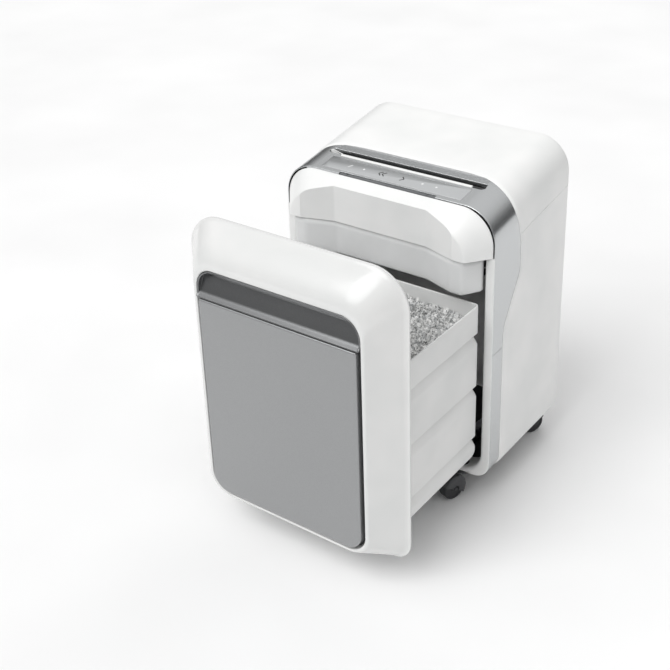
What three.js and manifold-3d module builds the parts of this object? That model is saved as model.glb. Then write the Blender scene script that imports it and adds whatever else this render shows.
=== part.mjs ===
// Pull-out-bin paper shredder, standing on four casters with its bin drawn out.
// Millimetres, +Z up. X runs across the cabinet, the front faces -Y, the casters stand on z = 0,
// and inside the machine's group y = 0 is the plane of the cabinet's mouth.
import * as THREE from 'three';
import { mergeVertices } from 'three/addons/utils/BufferGeometryUtils.js';
import Module from 'manifold-3d';

const wasm = await Module();
wasm.setup();

// ---------------------------------------------------------------- driving dimensions
const WIDTH = 360;
const DEPTH = 220;
const BASE_Z = 45;
const TOP_Z = 487;
const TOP_SLOPE = 0.153;
const TOP_RADIUS = 52;
const BOTTOM_RADIUS = 30;
const PAPER_WIDTH = 230;
const WALL = 3;
const GAP = 0.35;
const HALF = WIDTH / 2;

const SEAM_Z = 416;
const TRIM_SEAM_Z = 263;
const TRIM_INSET = 1.6;
const TRIM_THICK = 1.5;

const OPENING_HALF = 164.5;
const OPENING_BOTTOM = 51;
const OPENING_RADIUS = 36;
const RING_DEPTH = 32;

const CHIN_Z = 416.5;
const CHIN_DEPTH = 32;
const COVER_BOTTOM_Z = 362;
const DECK_Z = 366;
const TRAY_Z = 48.5;
const UNDERSIDE_HALF = 149;

const PULL = 210;
const PANEL_THICK = 50;
const PANEL_WALL = 2.6;
const PANEL_HALF = 179;
const PANEL_FRONT_HALF = 139.5;
const PANEL_FRONT_BOTTOM = 62.5;
const PANEL_FRONT_TOP = 434;
const WINDOW_HALF = 134.5;
const WINDOW_BOTTOM = 67.3;
const WINDOW_TOP = 430;
const GRIP_Z = 385.5;

const BIN_HALF = 161;
const BIN_BOTTOM = 77;
const BIN_TOP = 345;
const BIN_FRONT = -212;
const BIN_BACK = -6;
const BIN_WALL = 2.6;
const PAPER_Z = 322;

const SLOT_HALF = PAPER_WIDTH / 2 + 2.5;
const SLOT_FRONT = 49;
const SLOT_BACK = 57;

const CUTTER_Z = 404;
const CUTTER_Y = 52;
const SHAFT_SPACING = 40;
const DISC_RADIUS = 22;
const DISC_PITCH = 16;
const DISC_WIDTH = 7.2;
const SIDE_PLATE_X = 124;
const GEAR_MODULE = 1.25;

const GLAND_REACH = 16;

const WHEEL_RADIUS = 19;
const WHEEL_WIDTH = 17;
const TRAIL = 24;
const STEM_RADIUS = 5;

// ---------------------------------------------------------------- materials
function finish(color, roughness, metalness) {
  return { color, roughness, metalness };
}
const WHITE = finish(0xf2f3f2, 0.3, 0);
const MATT_WHITE = finish(0xe9ebea, 0.55, 0);
const PALE = finish(0xdcdfe0, 0.45, 0);
const SILVER = finish(0xb4b7b9, 0.32, 0.85);
const SATIN = finish(0xa3a5a6, 0.42, 0.8);
const GRIP_METAL = finish(0x6f7172, 0.3, 0.8);
const KEY_GREY = finish(0xbfc2c4, 0.3, 0.2);
const BLACK = finish(0x17181a, 0.5, 0);
const RUBBER = finish(0x2b2c2e, 0.75, 0);
const STEEL = finish(0x8d9094, 0.35, 0.95);
const GEAR_PLASTIC = finish(0xd8d2bd, 0.5, 0);
const MOTOR_METAL = finish(0x5c6064, 0.45, 0.8);
const BOARD_GREEN = finish(0x1e5b3c, 0.5, 0);
const PAPER = finish(0xd9dad8, 0.9, 0);

// ---------------------------------------------------------------- solids from three.js geometry
function solid(geometry) {
  const bare = geometry.clone();
  bare.deleteAttribute('normal');
  bare.deleteAttribute('uv');
  const merged = mergeVertices(bare, 1e-4);
  const vertProperties = new Float32Array(merged.attributes.position.array);
  const triVerts = new Uint32Array(merged.index.array);
  return new wasm.Manifold(new wasm.Mesh({ numProp: 3, vertProperties, triVerts }));
}

function geometryOf(shape) {
  const mesh = shape.getMesh();
  const geometry = new THREE.BufferGeometry();
  geometry.setAttribute('position', new THREE.BufferAttribute(mesh.vertProperties, 3));
  geometry.setIndex(new THREE.BufferAttribute(mesh.triVerts, 1));
  const flat = geometry.toNonIndexed();
  flat.computeVertexNormals();
  return flat;
}

// The whole machine is shifted so that the origin lies on the floor below the middle of its box.
const group = new THREE.Group();
const machine = new THREE.Group();
machine.position.y = (PULL + PANEL_THICK - DEPTH - GLAND_REACH) / 2;
group.add(machine);

function piece(name, shape, look) {
  const geometry = shape.isBufferGeometry ? shape : geometryOf(shape);
  const mesh = new THREE.Mesh(geometry, new THREE.MeshStandardMaterial(look));
  mesh.name = name;
  machine.add(mesh);
  return mesh;
}

// A shape drawn in (x, z), (y, z) or (x, y) and pushed along the third axis.
function alongY(shape, y0, y1, options = {}) {
  const geometry = new THREE.ExtrudeGeometry(shape, {
    depth: y1 - y0, bevelEnabled: false, curveSegments: 8, ...options,
  });
  geometry.rotateX(Math.PI / 2);
  return geometry.translate(0, y1, 0);
}

function alongX(shape, x0, x1, options = {}) {
  const geometry = new THREE.ExtrudeGeometry(shape, {
    depth: x1 - x0, bevelEnabled: false, curveSegments: 8, ...options,
  });
  const axes = new THREE.Matrix4().makeBasis(
    new THREE.Vector3(0, 1, 0), new THREE.Vector3(0, 0, 1), new THREE.Vector3(1, 0, 0));
  return geometry.applyMatrix4(axes).translate(x0, 0, 0);
}

function alongZ(shape, z0, z1, options = {}) {
  const geometry = new THREE.ExtrudeGeometry(shape, {
    depth: z1 - z0, bevelEnabled: false, curveSegments: 8, ...options,
  });
  return geometry.translate(0, 0, z0);
}

function box(x0, x1, y0, y1, z0, z1) {
  const geometry = new THREE.BoxGeometry(x1 - x0, y1 - y0, z1 - z0);
  return geometry.translate((x0 + x1) / 2, (y0 + y1) / 2, (z0 + z1) / 2);
}

function rod(radius, x0, x1, y, z, sides = 16) {
  const geometry = new THREE.CylinderGeometry(radius, radius, x1 - x0, sides);
  return geometry.rotateZ(Math.PI / 2).translate((x0 + x1) / 2, y, z);
}

function post(radius, x, y, z0, z1, sides = 16) {
  const geometry = new THREE.CylinderGeometry(radius, radius, z1 - z0, sides);
  return geometry.rotateX(Math.PI / 2).translate(x, y, (z0 + z1) / 2);
}

function polygon(points) {
  return new THREE.Shape(points.map(([a, b]) => new THREE.Vector2(a, b)));
}

function mirrored(points) {
  const other = points.map(([a, b]) => [-a, b]).reverse();
  return [...points, ...other];
}

// Rounded rectangle with one radius for its upper corners and one for its lower corners.
function rounded(half, bottom, top, lowRadius, highRadius) {
  const shape = new THREE.Shape();
  shape.moveTo(-half + lowRadius, bottom);
  shape.lineTo(half - lowRadius, bottom);
  shape.absarc(half - lowRadius, bottom + lowRadius, lowRadius, -Math.PI / 2, 0);
  shape.lineTo(half, top - highRadius);
  shape.absarc(half - highRadius, top - highRadius, highRadius, 0, Math.PI / 2);
  shape.lineTo(-half + highRadius, top);
  shape.absarc(-half + highRadius, top - highRadius, highRadius, Math.PI / 2, Math.PI);
  shape.lineTo(-half, bottom + lowRadius);
  shape.absarc(-half + lowRadius, bottom + lowRadius, lowRadius, Math.PI, Math.PI * 1.5);
  return shape;
}

// The cabinet's own outline seen from the front, drawn in from its skin by an inset.
function outline(inset, top = TOP_Z) {
  return rounded(HALF - inset, BASE_Z + inset, top - inset, BOTTOM_RADIUS - inset, TOP_RADIUS - inset);
}

function tube(outer, inner, y0, y1, top = TOP_Z) {
  const skin = solid(alongY(outline(outer, top), y0, y1));
  return skin.subtract(solid(alongY(outline(inner, top), y0 - 1, y1 + 1)));
}

// The head leans: its top rises toward the back by TOP_SLOPE.
function lean(shape) {
  const geometry = geometryOf(shape);
  const rise = new THREE.Matrix4().set(
    1, 0, 0, 0,
    0, 1, 0, 0,
    0, TOP_SLOPE, 1, 0,
    0, 0, 0, 1);
  geometry.applyMatrix4(rise);
  return geometry;
}

const SIDES = [['left', -1], ['right', 1]];

// ---------------------------------------------------------------- cabinet skin
// Side view of the line where the silver trim ends and the white skin begins, as (y, z) points
// before the head's lean: it runs back over the corner and narrows below to a strip.
const TRIM_BACK = [[32, 20], [32, 283], [36, 300], [74, 362], [77, 372], [77, 388], [74, 411], [67, 435],
  [63, 451], [62, 464], [63, 475], [67, 483], [77, 485.1], [77, 520]];

function behindTrim(shift, slope = 0) {
  const line = TRIM_BACK.map(([y, z]) => [y + shift, z + slope * y]);
  return solid(alongX(polygon([...line, [DEPTH + 30, 520], [DEPTH + 30, 20]].reverse()), -200, 200));
}

function sidePanels() {
  const tall = TOP_Z + 120;
  const skin = tube(0, WALL, RING_DEPTH, DEPTH - 4, tall).intersect(behindTrim(0.2, TOP_SLOPE));
  const seam = [[0, 20], [0, SEAM_Z - GAP], [DEPTH, SEAM_Z - GAP + TOP_SLOPE * DEPTH], [DEPTH, 20]];
  const lower = skin.intersect(solid(alongX(polygon(seam.reverse()), -200, 200)));
  for (const [side, sign] of SIDES) {
    const x0 = sign > 0 ? UNDERSIDE_HALF : -HALF - 1;
    const part = solid(box(x0, x0 + HALF + 1 - UNDERSIDE_HALF, 0, DEPTH, 20, 520));
    piece(`side_panel_${side}`, lower.intersect(part), WHITE);
  }
}

function headCover() {
  const skin = tube(0, WALL, 50, DEPTH - 4).intersect(behindTrim(0.2));
  const back = solid(alongY(outline(WALL - 0.5), DEPTH - 7, DEPTH - 4));
  const upper = solid(box(-200, 200, 0, DEPTH, SEAM_Z, 520));
  piece('head_cover', lean(skin.add(back).intersect(upper)), WHITE);
}

function rearCover() {
  const y0 = DEPTH - 4 + GAP;
  const top = TOP_Z + TOP_SLOPE * (DEPTH - 2);
  let plate = solid(alongY(outline(1.4, top), y0, DEPTH));
  const vents = 7;
  for (let i = 0; i < vents; i += 1) {
    const z = 395 + i * 9;
    plate = plate.subtract(solid(box(-60, 60, y0 - 1, DEPTH + 1, z, z + 3.5)));
  }
  const [rockerX, rockerZ] = [[-9.4 + ROCKER_X, 9.4 + ROCKER_X], [-14.4 + ROCKER_Z, 14.4 + ROCKER_Z]];
  plate = plate.subtract(solid(box(...rockerX, y0 - 1, DEPTH + 1, ...rockerZ)));
  const inlet = new THREE.CylinderGeometry(6.4, 6.4, 20, 16).translate(INLET_X, DEPTH, INLET_Z);
  plate = plate.subtract(solid(inlet));
  piece('rear_cover', plate, WHITE);
}

function baseTray() {
  let tray = solid(box(-148, 148, 3.6, DEPTH - 8, TRAY_Z, TRAY_Z + 2.5));
  for (const { x, y } of CASTERS) {
    tray = tray.add(solid(post(9, x, y, TRAY_Z, TRAY_Z + 16)));
  }
  for (const { x, y } of CASTERS) {
    tray = tray.subtract(solid(post(STEM_RADIUS + 0.3, x, y, TRAY_Z - 1, TRAY_Z + 13)));
  }
  piece('base_tray', tray, BLACK);
}

// ---------------------------------------------------------------- front frame and silver trim
function frontFrame() {
  const skin = solid(alongY(outline(TRIM_INSET + TRIM_THICK + GAP), 0, RING_DEPTH));
  const mouth = rounded(OPENING_HALF, OPENING_BOTTOM, 600, OPENING_RADIUS, 20);
  const hollow = tube(TRIM_INSET + TRIM_THICK + 2.5, 13.4, 3, RING_DEPTH + 1);
  const below = solid(box(-200, 200, -1, 60, 20, CHIN_Z - GAP));
  const flange = skin.subtract(solid(alongY(mouth, -1, RING_DEPTH + 1)));
  const legs = hollow.intersect(solid(box(-200, 200, 3, 60, 110, 430)));
  const overTray = solid(box(-UNDERSIDE_HALF, UNDERSIDE_HALF, 3.2, 60, 20, TRAY_Z + 4));
  piece('front_frame', flange.subtract(legs).subtract(overTray).intersect(below), MATT_WHITE);
}

function inFrontOfTrimBack() {
  const line = TRIM_BACK.map(([y, z]) => [y - GAP, z]);
  return solid(alongX(polygon([[1.5, 20], ...line, [1.5, 520]]), -200, 200));
}

function trim() {
  const strip = tube(TRIM_INSET, TRIM_INSET + TRIM_THICK, 1.5, 80).intersect(inFrontOfTrimBack());
  for (const [side, sign] of SIDES) {
    const x0 = sign > 0 ? UNDERSIDE_HALF : -200;
    const lower = solid(box(x0, x0 + 51, 0, 90, 20, TRIM_SEAM_Z - GAP));
    piece(`trim_strip_${side}`, strip.intersect(lower), SILVER);
  }

  const block = solid(box(-142, 142, 3, 57.8, TOP_Z - 7.5, TOP_Z));
  const slab = block.intersect(solid(alongY(outline(TRIM_INSET), 0, 90)));
  let band = strip.intersect(solid(box(-200, 200, 0, 90, TRIM_SEAM_Z, 520))).add(slab);
  const surface = TOP_Z - TRIM_INSET;
  band = band.subtract(solid(alongZ(slotShape(0), TOP_Z - 20, TOP_Z + 5)));
  band = band.subtract(solid(alongZ(lipShape(GAP), surface - 2.4, TOP_Z + 5)));
  band = band.subtract(solid(box(-118.4, 118.4, 9.6, 40.4, surface - 1.2, TOP_Z + 5)));
  band = band.subtract(solid(box(-81.4, 81.4, -1, 6.9, surface - 4.4, TOP_Z + 5)));
  piece('trim_band', lean(band), SILVER);

  const overlay = solid(box(-118, 118, 10, 40, surface - 0.85, surface + 0.1));
  piece('touch_overlay', lean(overlay), KEY_GREY);
  const lens = solid(box(-81, 81, 1.8, 6.5, surface - 4, surface - 0.4));
  piece('light_bar', lean(lens), BLACK);
}

// Plan of the paper mouth: a long slot that opens into a wider notch at its right end.
function slotShape(grow) {
  const points = [
    [-SLOT_HALF - 18 - grow, SLOT_FRONT + 2], [-SLOT_HALF - 10, SLOT_FRONT - 2 - grow],
    [-SLOT_HALF + 8, SLOT_FRONT - grow], [SLOT_HALF - 2, SLOT_FRONT - grow],
    [SLOT_HALF - 2, SLOT_FRONT - 4 - grow], [SLOT_HALF + 12 + grow, SLOT_FRONT - 4 - grow],
    [SLOT_HALF + 16 + grow, SLOT_FRONT], [SLOT_HALF + 14 + grow, SLOT_BACK + grow],
    [-SLOT_HALF - 12 - grow, SLOT_BACK + grow],
  ];
  return polygon(points);
}

function lipShape(grow) {
  const points = [
    [-SLOT_HALF + 8.5 - grow, SLOT_FRONT - 4.5 - grow], [SLOT_HALF - 3 + grow, SLOT_FRONT - 4.5 - grow],
    [SLOT_HALF - 3 + grow, SLOT_FRONT - 0.4 + grow], [-SLOT_HALF + 8.5 - grow, SLOT_FRONT - 0.4 + grow],
  ];
  return polygon(points);
}

function mouth() {
  const surface = TOP_Z - TRIM_INSET;
  piece('slot_lip', lean(solid(alongZ(lipShape(0), surface - 2, surface + 1))), WHITE);
  const reach = SLOT_HALF + 13;
  const outer = solid(box(-reach, reach, SLOT_FRONT - 6, SLOT_BACK + 3.4, 433, TOP_Z + 2));
  const under = [[0, 400], [0, TOP_Z - 8], [DEPTH, TOP_Z - 8 + TOP_SLOPE * DEPTH], [DEPTH, 400]];
  const channel = solid(box(-SLOT_HALF, SLOT_HALF, SLOT_FRONT, SLOT_BACK - 0.5, 400, 540));
  const throat = outer.intersect(solid(alongX(polygon(under.reverse()), -200, 200))).subtract(channel);
  piece('slot_throat', throat, BLACK);
}

// ---------------------------------------------------------------- fascia and cutter cover
// How far the pull-out front and the fascia behind it draw in at a depth d in front of their back plane.
function crown(t) {
  return 0.5 * t + 0.5 * (1 - Math.sqrt(Math.max(0, 1 - t * t)));
}

function pillow(inset, backY, depth, steps) {
  const geometry = alongY(
    rounded(PANEL_HALF - inset, BASE_Z + inset, TOP_Z - inset, BOTTOM_RADIUS - inset, TOP_RADIUS - inset),
    backY - depth, backY, { steps, curveSegments: 6 });
  const middle = 250;
  const above = TOP_Z - inset - middle;
  const below = middle - BASE_Z - inset;
  const at = geometry.attributes.position;
  for (let i = 0; i < at.count; i += 1) {
    const t = Math.min(1, (backY - at.getY(i)) / PANEL_THICK);
    const z = at.getZ(i);
    const wide = PANEL_HALF - t * (PANEL_HALF - PANEL_FRONT_HALF) - inset;
    const top = TOP_Z - crown(t) * (TOP_Z - PANEL_FRONT_TOP) - inset;
    const bottom = BASE_Z + t * (PANEL_FRONT_BOTTOM - BASE_Z) + inset;
    const tall = z > middle ? (top - middle) / above : (middle - bottom) / below;
    at.setX(i, at.getX(i) * wide / (PANEL_HALF - inset));
    at.setZ(i, middle + (z - middle) * tall);
  }
  return geometry;
}

// Plan of the clearance for the pull-out front's grip, in front of the fascia.
function gripClearance(back, grow) {
  const points = [[-78.7 - grow, back + grow], [-130 - grow, -CHIN_DEPTH], [-150 - grow, -60]];
  return polygon(mirrored(points).reverse());
}

function fascia() {
  const inset = 5.5;
  const outer = solid(pillow(inset, 2, CHIN_DEPTH + 2, 5));
  const inner = solid(pillow(inset + 2.4, 3, CHIN_DEPTH + 0.6, 5));
  const recess = solid(alongZ(gripClearance(-16, 0), 380, 520));
  const wall = solid(alongZ(gripClearance(-16, 2.4), 380, 520));
  const above = solid(box(-200, 200, -60, 60, CHIN_Z, 520));
  const sill = solid(box(-200, 200, -60, 60, CHIN_Z, CHIN_Z + 2.4));
  const hollow = inner.subtract(wall).subtract(sill);
  piece('fascia', outer.subtract(recess).subtract(hollow).intersect(above), WHITE);
}

function cutterCover() {
  const plan = polygon(mirrored([[160, 5], [160, -2], [143, -28], [124, -28], [77, -12.5]]));
  const inside = polygon(mirrored([[157, 8], [157, -2], [141.5, -25.5], [125, -25.5], [77, -10]]));
  const skin = solid(alongZ(plan, COVER_BOTTOM_Z, CHIN_Z - GAP));
  const hollow = solid(alongZ(inside, COVER_BOTTOM_Z + 3, CHIN_Z + 5));
  piece('cutter_cover', skin.subtract(hollow), PALE);
}

// ---------------------------------------------------------------- cutting mechanism
const SHAFT_A = { y: CUTTER_Y + SHAFT_SPACING / 2, z: CUTTER_Z };
const SHAFT_B = { y: CUTTER_Y - SHAFT_SPACING / 2, z: CUTTER_Z };
const MOTOR = { y: 150, z: 432 };
const TEETH = { sync: 32, bull: 60, small: 14, large: 56, pinion: 12 };
const pitchRadius = (teeth) => GEAR_MODULE * teeth / 2;

// The idler stands where both of its meshes have their right centre distance.
function idlerCentre() {
  const toBull = pitchRadius(TEETH.bull) + pitchRadius(TEETH.small);
  const toMotor = pitchRadius(TEETH.large) + pitchRadius(TEETH.pinion);
  const dy = MOTOR.y - SHAFT_A.y;
  const dz = MOTOR.z - SHAFT_A.z;
  const span = Math.hypot(dy, dz);
  const along = (toBull ** 2 - toMotor ** 2 + span ** 2) / (2 * span);
  const aside = Math.sqrt(toBull ** 2 - along ** 2);
  return {
    y: SHAFT_A.y + (along * dy - aside * dz) / span,
    z: SHAFT_A.z + (along * dz + aside * dy) / span,
  };
}
const IDLER = idlerCentre();
const heading = (from, to) => Math.atan2(to.z - from.z, to.y - from.y);

// A gear with one tooth centred on the angle given by phase.
function gear(teeth, at, x0, x1, phase) {
  const pitch = 2 * Math.PI / teeth;
  const tip = pitchRadius(teeth) + 0.75 * GEAR_MODULE;
  const root = pitchRadius(teeth) - 1.1 * GEAR_MODULE;
  const points = [];
  for (let i = 0; i < teeth; i += 1) {
    const middle = phase + i * pitch;
    const corners = [[root, -0.24], [tip, -0.11], [tip, 0.11], [root, 0.24]];
    for (const [radius, share] of corners) {
      const angle = middle + share * pitch;
      points.push([at.y + radius * Math.cos(angle), at.z + radius * Math.sin(angle)]);
    }
  }
  return solid(alongX(polygon(points), x0, x1));
}

const halfTooth = (teeth) => Math.PI / teeth;

function cutterShaft(name, at, start, ends) {
  const reach = SIDE_PLATE_X - 3;
  const points = [[0, -reach], [17.5, -reach]];
  const discs = Math.floor((2 * reach - DISC_WIDTH) / DISC_PITCH);
  for (let i = 0; i < discs; i += 1) {
    const x = -reach + start + i * DISC_PITCH;
    points.push([17.5, x], [DISC_RADIUS, x], [DISC_RADIUS, x + DISC_WIDTH], [17.5, x + DISC_WIDTH]);
  }
  points.push([17.5, reach], [0, reach]);
  const profile = points.map(([radius, along]) => new THREE.Vector2(radius, along));
  const body = new THREE.LatheGeometry(profile, 12);
  body.rotateZ(-Math.PI / 2).translate(0, at.y, at.z);
  const journal = solid(rod(7, ends[0], ends[1], at.y, at.z, 16));
  return solid(body).add(journal);
}

function cutters() {
  const a = cutterShaft('cutter_shaft_a', SHAFT_A, 2.3, [-148, 152]);
  const b = cutterShaft('cutter_shaft_b', SHAFT_B, 2.3 + DISC_PITCH / 2, [-148, 131]);
  piece('cutter_shaft_a', a, STEEL);
  piece('cutter_shaft_b', b, STEEL);

  const bore = (at) => solid(rod(7 + GAP, -200, 200, at.y, at.z, 16));
  const syncA = gear(TEETH.sync, SHAFT_A, -147, -137, Math.PI);
  const syncB = gear(TEETH.sync, SHAFT_B, -147, -137, halfTooth(TEETH.sync));
  piece('sync_gear_a', syncA.subtract(bore(SHAFT_A)), STEEL);
  piece('sync_gear_b', syncB.subtract(bore(SHAFT_B)), STEEL);
  const bull = gear(TEETH.bull, SHAFT_A, 133, 145, heading(SHAFT_A, IDLER));
  piece('bull_gear', bull.subtract(bore(SHAFT_A)), STEEL);

  const smallPhase = heading(IDLER, SHAFT_A) + halfTooth(TEETH.small);
  const small = gear(TEETH.small, IDLER, 131.5, 147.5, smallPhase);
  const large = gear(TEETH.large, IDLER, 147, 157, heading(IDLER, MOTOR));
  const axle = solid(rod(4, 120.5, 162, IDLER.y, IDLER.z, 12));
  piece('idler_gear', small.add(large).add(axle), GEAR_PLASTIC);

  const pinionPhase = heading(MOTOR, IDLER) + halfTooth(TEETH.pinion);
  const pinion = gear(TEETH.pinion, MOTOR, 146, 158, pinionPhase);
  const spindle = solid(rod(4, -30, 150, MOTOR.y, MOTOR.z, 12));
  const rotor = solid(rod(20, 14, 84, MOTOR.y, MOTOR.z, 20));
  piece('motor_rotor', pinion.add(spindle).add(rotor), STEEL);
}

function chassis() {
  const reach = SIDE_PLATE_X;
  let deck = solid(box(-170, 170, 34, DEPTH - 12, DECK_Z, DECK_Z + 2.5));
  deck = deck.subtract(solid(box(-reach + 6, reach - 6, 36, 98, DECK_Z - 1, DECK_Z + 4)));
  deck = deck.subtract(solid(box(130, 160, 52, 94, DECK_Z - 1, DECK_Z + 4)));
  piece('deck', deck, STEEL);

  const left = [[10, DECK_Z + 3], [10, 430], [96, 430], [104, DECK_Z + 3]];
  const right = [[10, DECK_Z + 3], [10, 430], [70, 432], [90, 470], [170, 474], [176, DECK_Z + 3]];
  for (const [side, sign] of SIDES) {
    const shape = polygon((sign > 0 ? right : left).slice().reverse());
    const x0 = sign > 0 ? SIDE_PLATE_X : -SIDE_PLATE_X - 3;
    let plate = solid(alongX(shape, x0, x0 + 3));
    for (const at of [SHAFT_A, SHAFT_B]) {
      plate = plate.subtract(solid(rod(7 + GAP, -200, 200, at.y, at.z, 16)));
    }
    for (const at of [IDLER, MOTOR]) {
      plate = plate.subtract(solid(rod(4 + GAP, -200, 200, at.y, at.z, 12)));
    }
    piece(`cutter_plate_${side}`, plate, STEEL);
  }
  const bars = [['tie_bar_front', 15, 384], ['tie_bar_rear', 90, 423]];
  for (const [name, y, z] of bars) {
    piece(name, rod(4, -SIDE_PLATE_X + GAP, SIDE_PLATE_X - GAP, y, z, 12), STEEL);
  }
  piece('stripper_front', comb(SHAFT_B, -1), BLACK);
  piece('stripper_rear', comb(SHAFT_A, 1), BLACK);
}

// The strippers lie beside the discs and keep shreds from wrapping round the shafts.
function comb(at, sign) {
  const near = at.y + sign * (DISC_RADIUS + 0.8);
  const far = near + sign * 2.5;
  return box(-SIDE_PLATE_X + 4, SIDE_PLATE_X - 4, Math.min(near, far), Math.max(near, far), 391, 421);
}

function motor() {
  const can = new THREE.LatheGeometry([
    [22, -38], [34, -38], [37, -34], [37, 34], [34, 38], [22, 38], [22, -38],
  ].map(([radius, along]) => new THREE.Vector2(radius, along)), 24);
  can.rotateZ(-Math.PI / 2).translate(50, MOTOR.y, MOTOR.z);
  const foot = solid(box(20, 80, MOTOR.y - 26, MOTOR.y + 26, DECK_Z + 3, DECK_Z + 34));
  const hollow = solid(rod(30, 10, 90, MOTOR.y, MOTOR.z, 24));
  piece('motor_body', solid(can).add(foot.subtract(hollow)), MOTOR_METAL);
}

function electrics() {
  piece('control_board', box(-110, -20, 130, 190, DECK_Z + 14, DECK_Z + 16), BOARD_GREEN);
  const tray = solid(box(-104, -26, 134, 186, DECK_Z + 3, DECK_Z + 13.6));
  const inside = solid(box(-101, -29, 137, 183, DECK_Z + 5, DECK_Z + 20));
  piece('board_tray', tray.subtract(inside), BLACK);
  piece('motor_capacitor', rod(14, -100, -40, 114, DECK_Z + 18, 16), BLACK);
  piece('bin_sensor', box(-12, 12, 186, 200, DECK_Z - 9, DECK_Z - GAP), BLACK);
  piece('touch_board', lean(solid(box(-110, 110, 12, 38, TOP_Z - 12, TOP_Z - 10))), BOARD_GREEN);
}

// ---------------------------------------------------------------- rear switch and mains inlet
const ROCKER_X = -110;
const ROCKER_Z = 330;
const INLET_X = -110;
const INLET_Z = 290;

function rearFittings() {
  const block = (half, tall, y0, y1) => solid(
    box(ROCKER_X - half, ROCKER_X + half, y0, y1, ROCKER_Z - tall, ROCKER_Z + tall));
  const outer = block(9, 14, DEPTH - 16, DEPTH + 1);
  const flange = block(12, 17, DEPTH + 0.3, DEPTH + 2);
  const well = block(7, 12, DEPTH - 12, DEPTH + 3);
  piece('rocker_frame', outer.add(flange).subtract(well), BLACK);
  const face = [[DEPTH - 8, -9], [DEPTH + 1.5, -11], [DEPTH - 1, 0], [DEPTH + 4, 10.3], [DEPTH - 8, 9]];
  const rocker = alongX(polygon(face.map(([y, z]) => [y, z + ROCKER_Z])), ROCKER_X - 6.5, ROCKER_X + 6.5);
  piece('rocker', rocker, BLACK);

  const gland = new THREE.LatheGeometry([
    [3.2, -14], [6, -14], [6, 0.4], [9, 0.4], [9, 3], [6.5, 9], [4.6, GLAND_REACH], [3.2, GLAND_REACH],
    [3.2, -14],
  ].map(([radius, along]) => new THREE.Vector2(radius, along)), 20);
  piece('cord_gland', gland.translate(INLET_X, DEPTH, INLET_Z), RUBBER);
}

// ---------------------------------------------------------------- telescopic rails
const RAIL_LENGTH = 200;
const RAIL_X = 110;

function rails() {
  const channel = (web, height, flange, low) => [
    [web, low], [web, low + height], [web - flange, low + height], [web - flange, low + height - 1.5],
    [web - 2, low + height - 1.5], [web - 2, low + 1.5], [web - flange, low + 1.5], [web - flange, low],
  ];
  const bar = [[RAIL_X - 12, 57.2], [RAIL_X + 0.5, 57.2], [RAIL_X + 0.5, 64.8], [RAIL_X - 8.6, 64.8],
    [RAIL_X - 8.6, BIN_BOTTOM - GAP], [RAIL_X - 12, BIN_BOTTOM - GAP]];
  const outer = channel(RAIL_X + 6, 17, 11, 52.4);
  const mid = channel(RAIL_X + 3.4, 13, 11, 54.4);
  const members = [
    ['rail_outer', outer, 8], ['rail_mid', mid, 8 - PULL / 2], ['rail_inner', bar, 5 - PULL],
  ];
  for (const [name, points, start] of members) {
    for (const [side, sign] of SIDES) {
      const shape = polygon(sign > 0 ? points : points.map(([x, z]) => [-x, z]).reverse());
      piece(`${name}_${side}`, alongY(shape, start, start + RAIL_LENGTH), STEEL);
    }
  }
}

// ---------------------------------------------------------------- bin, its front and its paper
// Half section of one side of the bin: bands that bulge out between three grooves.
const GROOVES = [298, 211, 124];
const GROOVE_DEPTH = 5;

function binSide(half, inset) {
  const points = [];
  for (const z of GROOVES) {
    points.push([half - inset, z + 5], [half - GROOVE_DEPTH - inset, z], [half - inset, z - 15]);
  }
  return points;
}

function binProfile(inset) {
  const radius = 26 - inset;
  const shape = new THREE.Shape();
  const half = BIN_HALF - inset;
  const low = BIN_BOTTOM + inset;
  const right = binSide(BIN_HALF, inset).reverse();
  const left = binSide(BIN_HALF, inset).map(([x, z]) => [-x, z]);
  shape.moveTo(-half + radius, low);
  shape.lineTo(half - radius, low);
  shape.absarc(half - radius, low + radius, radius, -Math.PI / 2, 0);
  right.forEach(([x, z]) => shape.lineTo(x, z));
  shape.lineTo(half, BIN_TOP + (inset ? 5 : 0));
  shape.lineTo(-half, BIN_TOP + (inset ? 5 : 0));
  left.forEach(([x, z]) => shape.lineTo(x, z));
  shape.absarc(-half + radius, low + radius, radius, Math.PI, Math.PI * 1.5);
  return shape;
}

// The same bands seen from the side, so that the back wall is ribbed like the side walls.
function binDepthProfile(inset) {
  const radius = 26 - inset;
  const back = BIN_BACK - inset;
  const front = BIN_FRONT + inset;
  const low = BIN_BOTTOM + inset;
  const top = BIN_TOP + (inset ? 5 : 0);
  const shape = new THREE.Shape();
  shape.moveTo(front, low);
  shape.lineTo(back - radius, low);
  shape.absarc(back - radius, low + radius, radius, -Math.PI / 2, 0);
  binSide(BIN_BACK, inset).reverse().forEach(([y, z]) => shape.lineTo(y, z));
  shape.lineTo(back, top);
  shape.lineTo(front, top);
  return shape;
}

function binSolid(inset) {
  const across = solid(alongY(binProfile(inset), BIN_FRONT + inset, BIN_BACK - inset));
  return across.intersect(solid(alongX(binDepthProfile(inset), -BIN_HALF - 5, BIN_HALF + 5)));
}

function bin() {
  piece('bin', binSolid(0).subtract(binSolid(BIN_WALL)), MATT_WHITE);
  const core = solid(box(-140, 140, BIN_FRONT + 14, BIN_BACK - 14, 60, PAPER_Z - 44));
  const heap = binSolid(BIN_WALL + 0.5).intersect(solid(paperTop())).subtract(core);
  piece('paper_fill', heap, PAPER);
  piece('bin_magnet', box(-8, 8, BIN_BACK - 14, BIN_BACK - 4, BIN_TOP + GAP, BIN_TOP + 8), STEEL);
}

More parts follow.
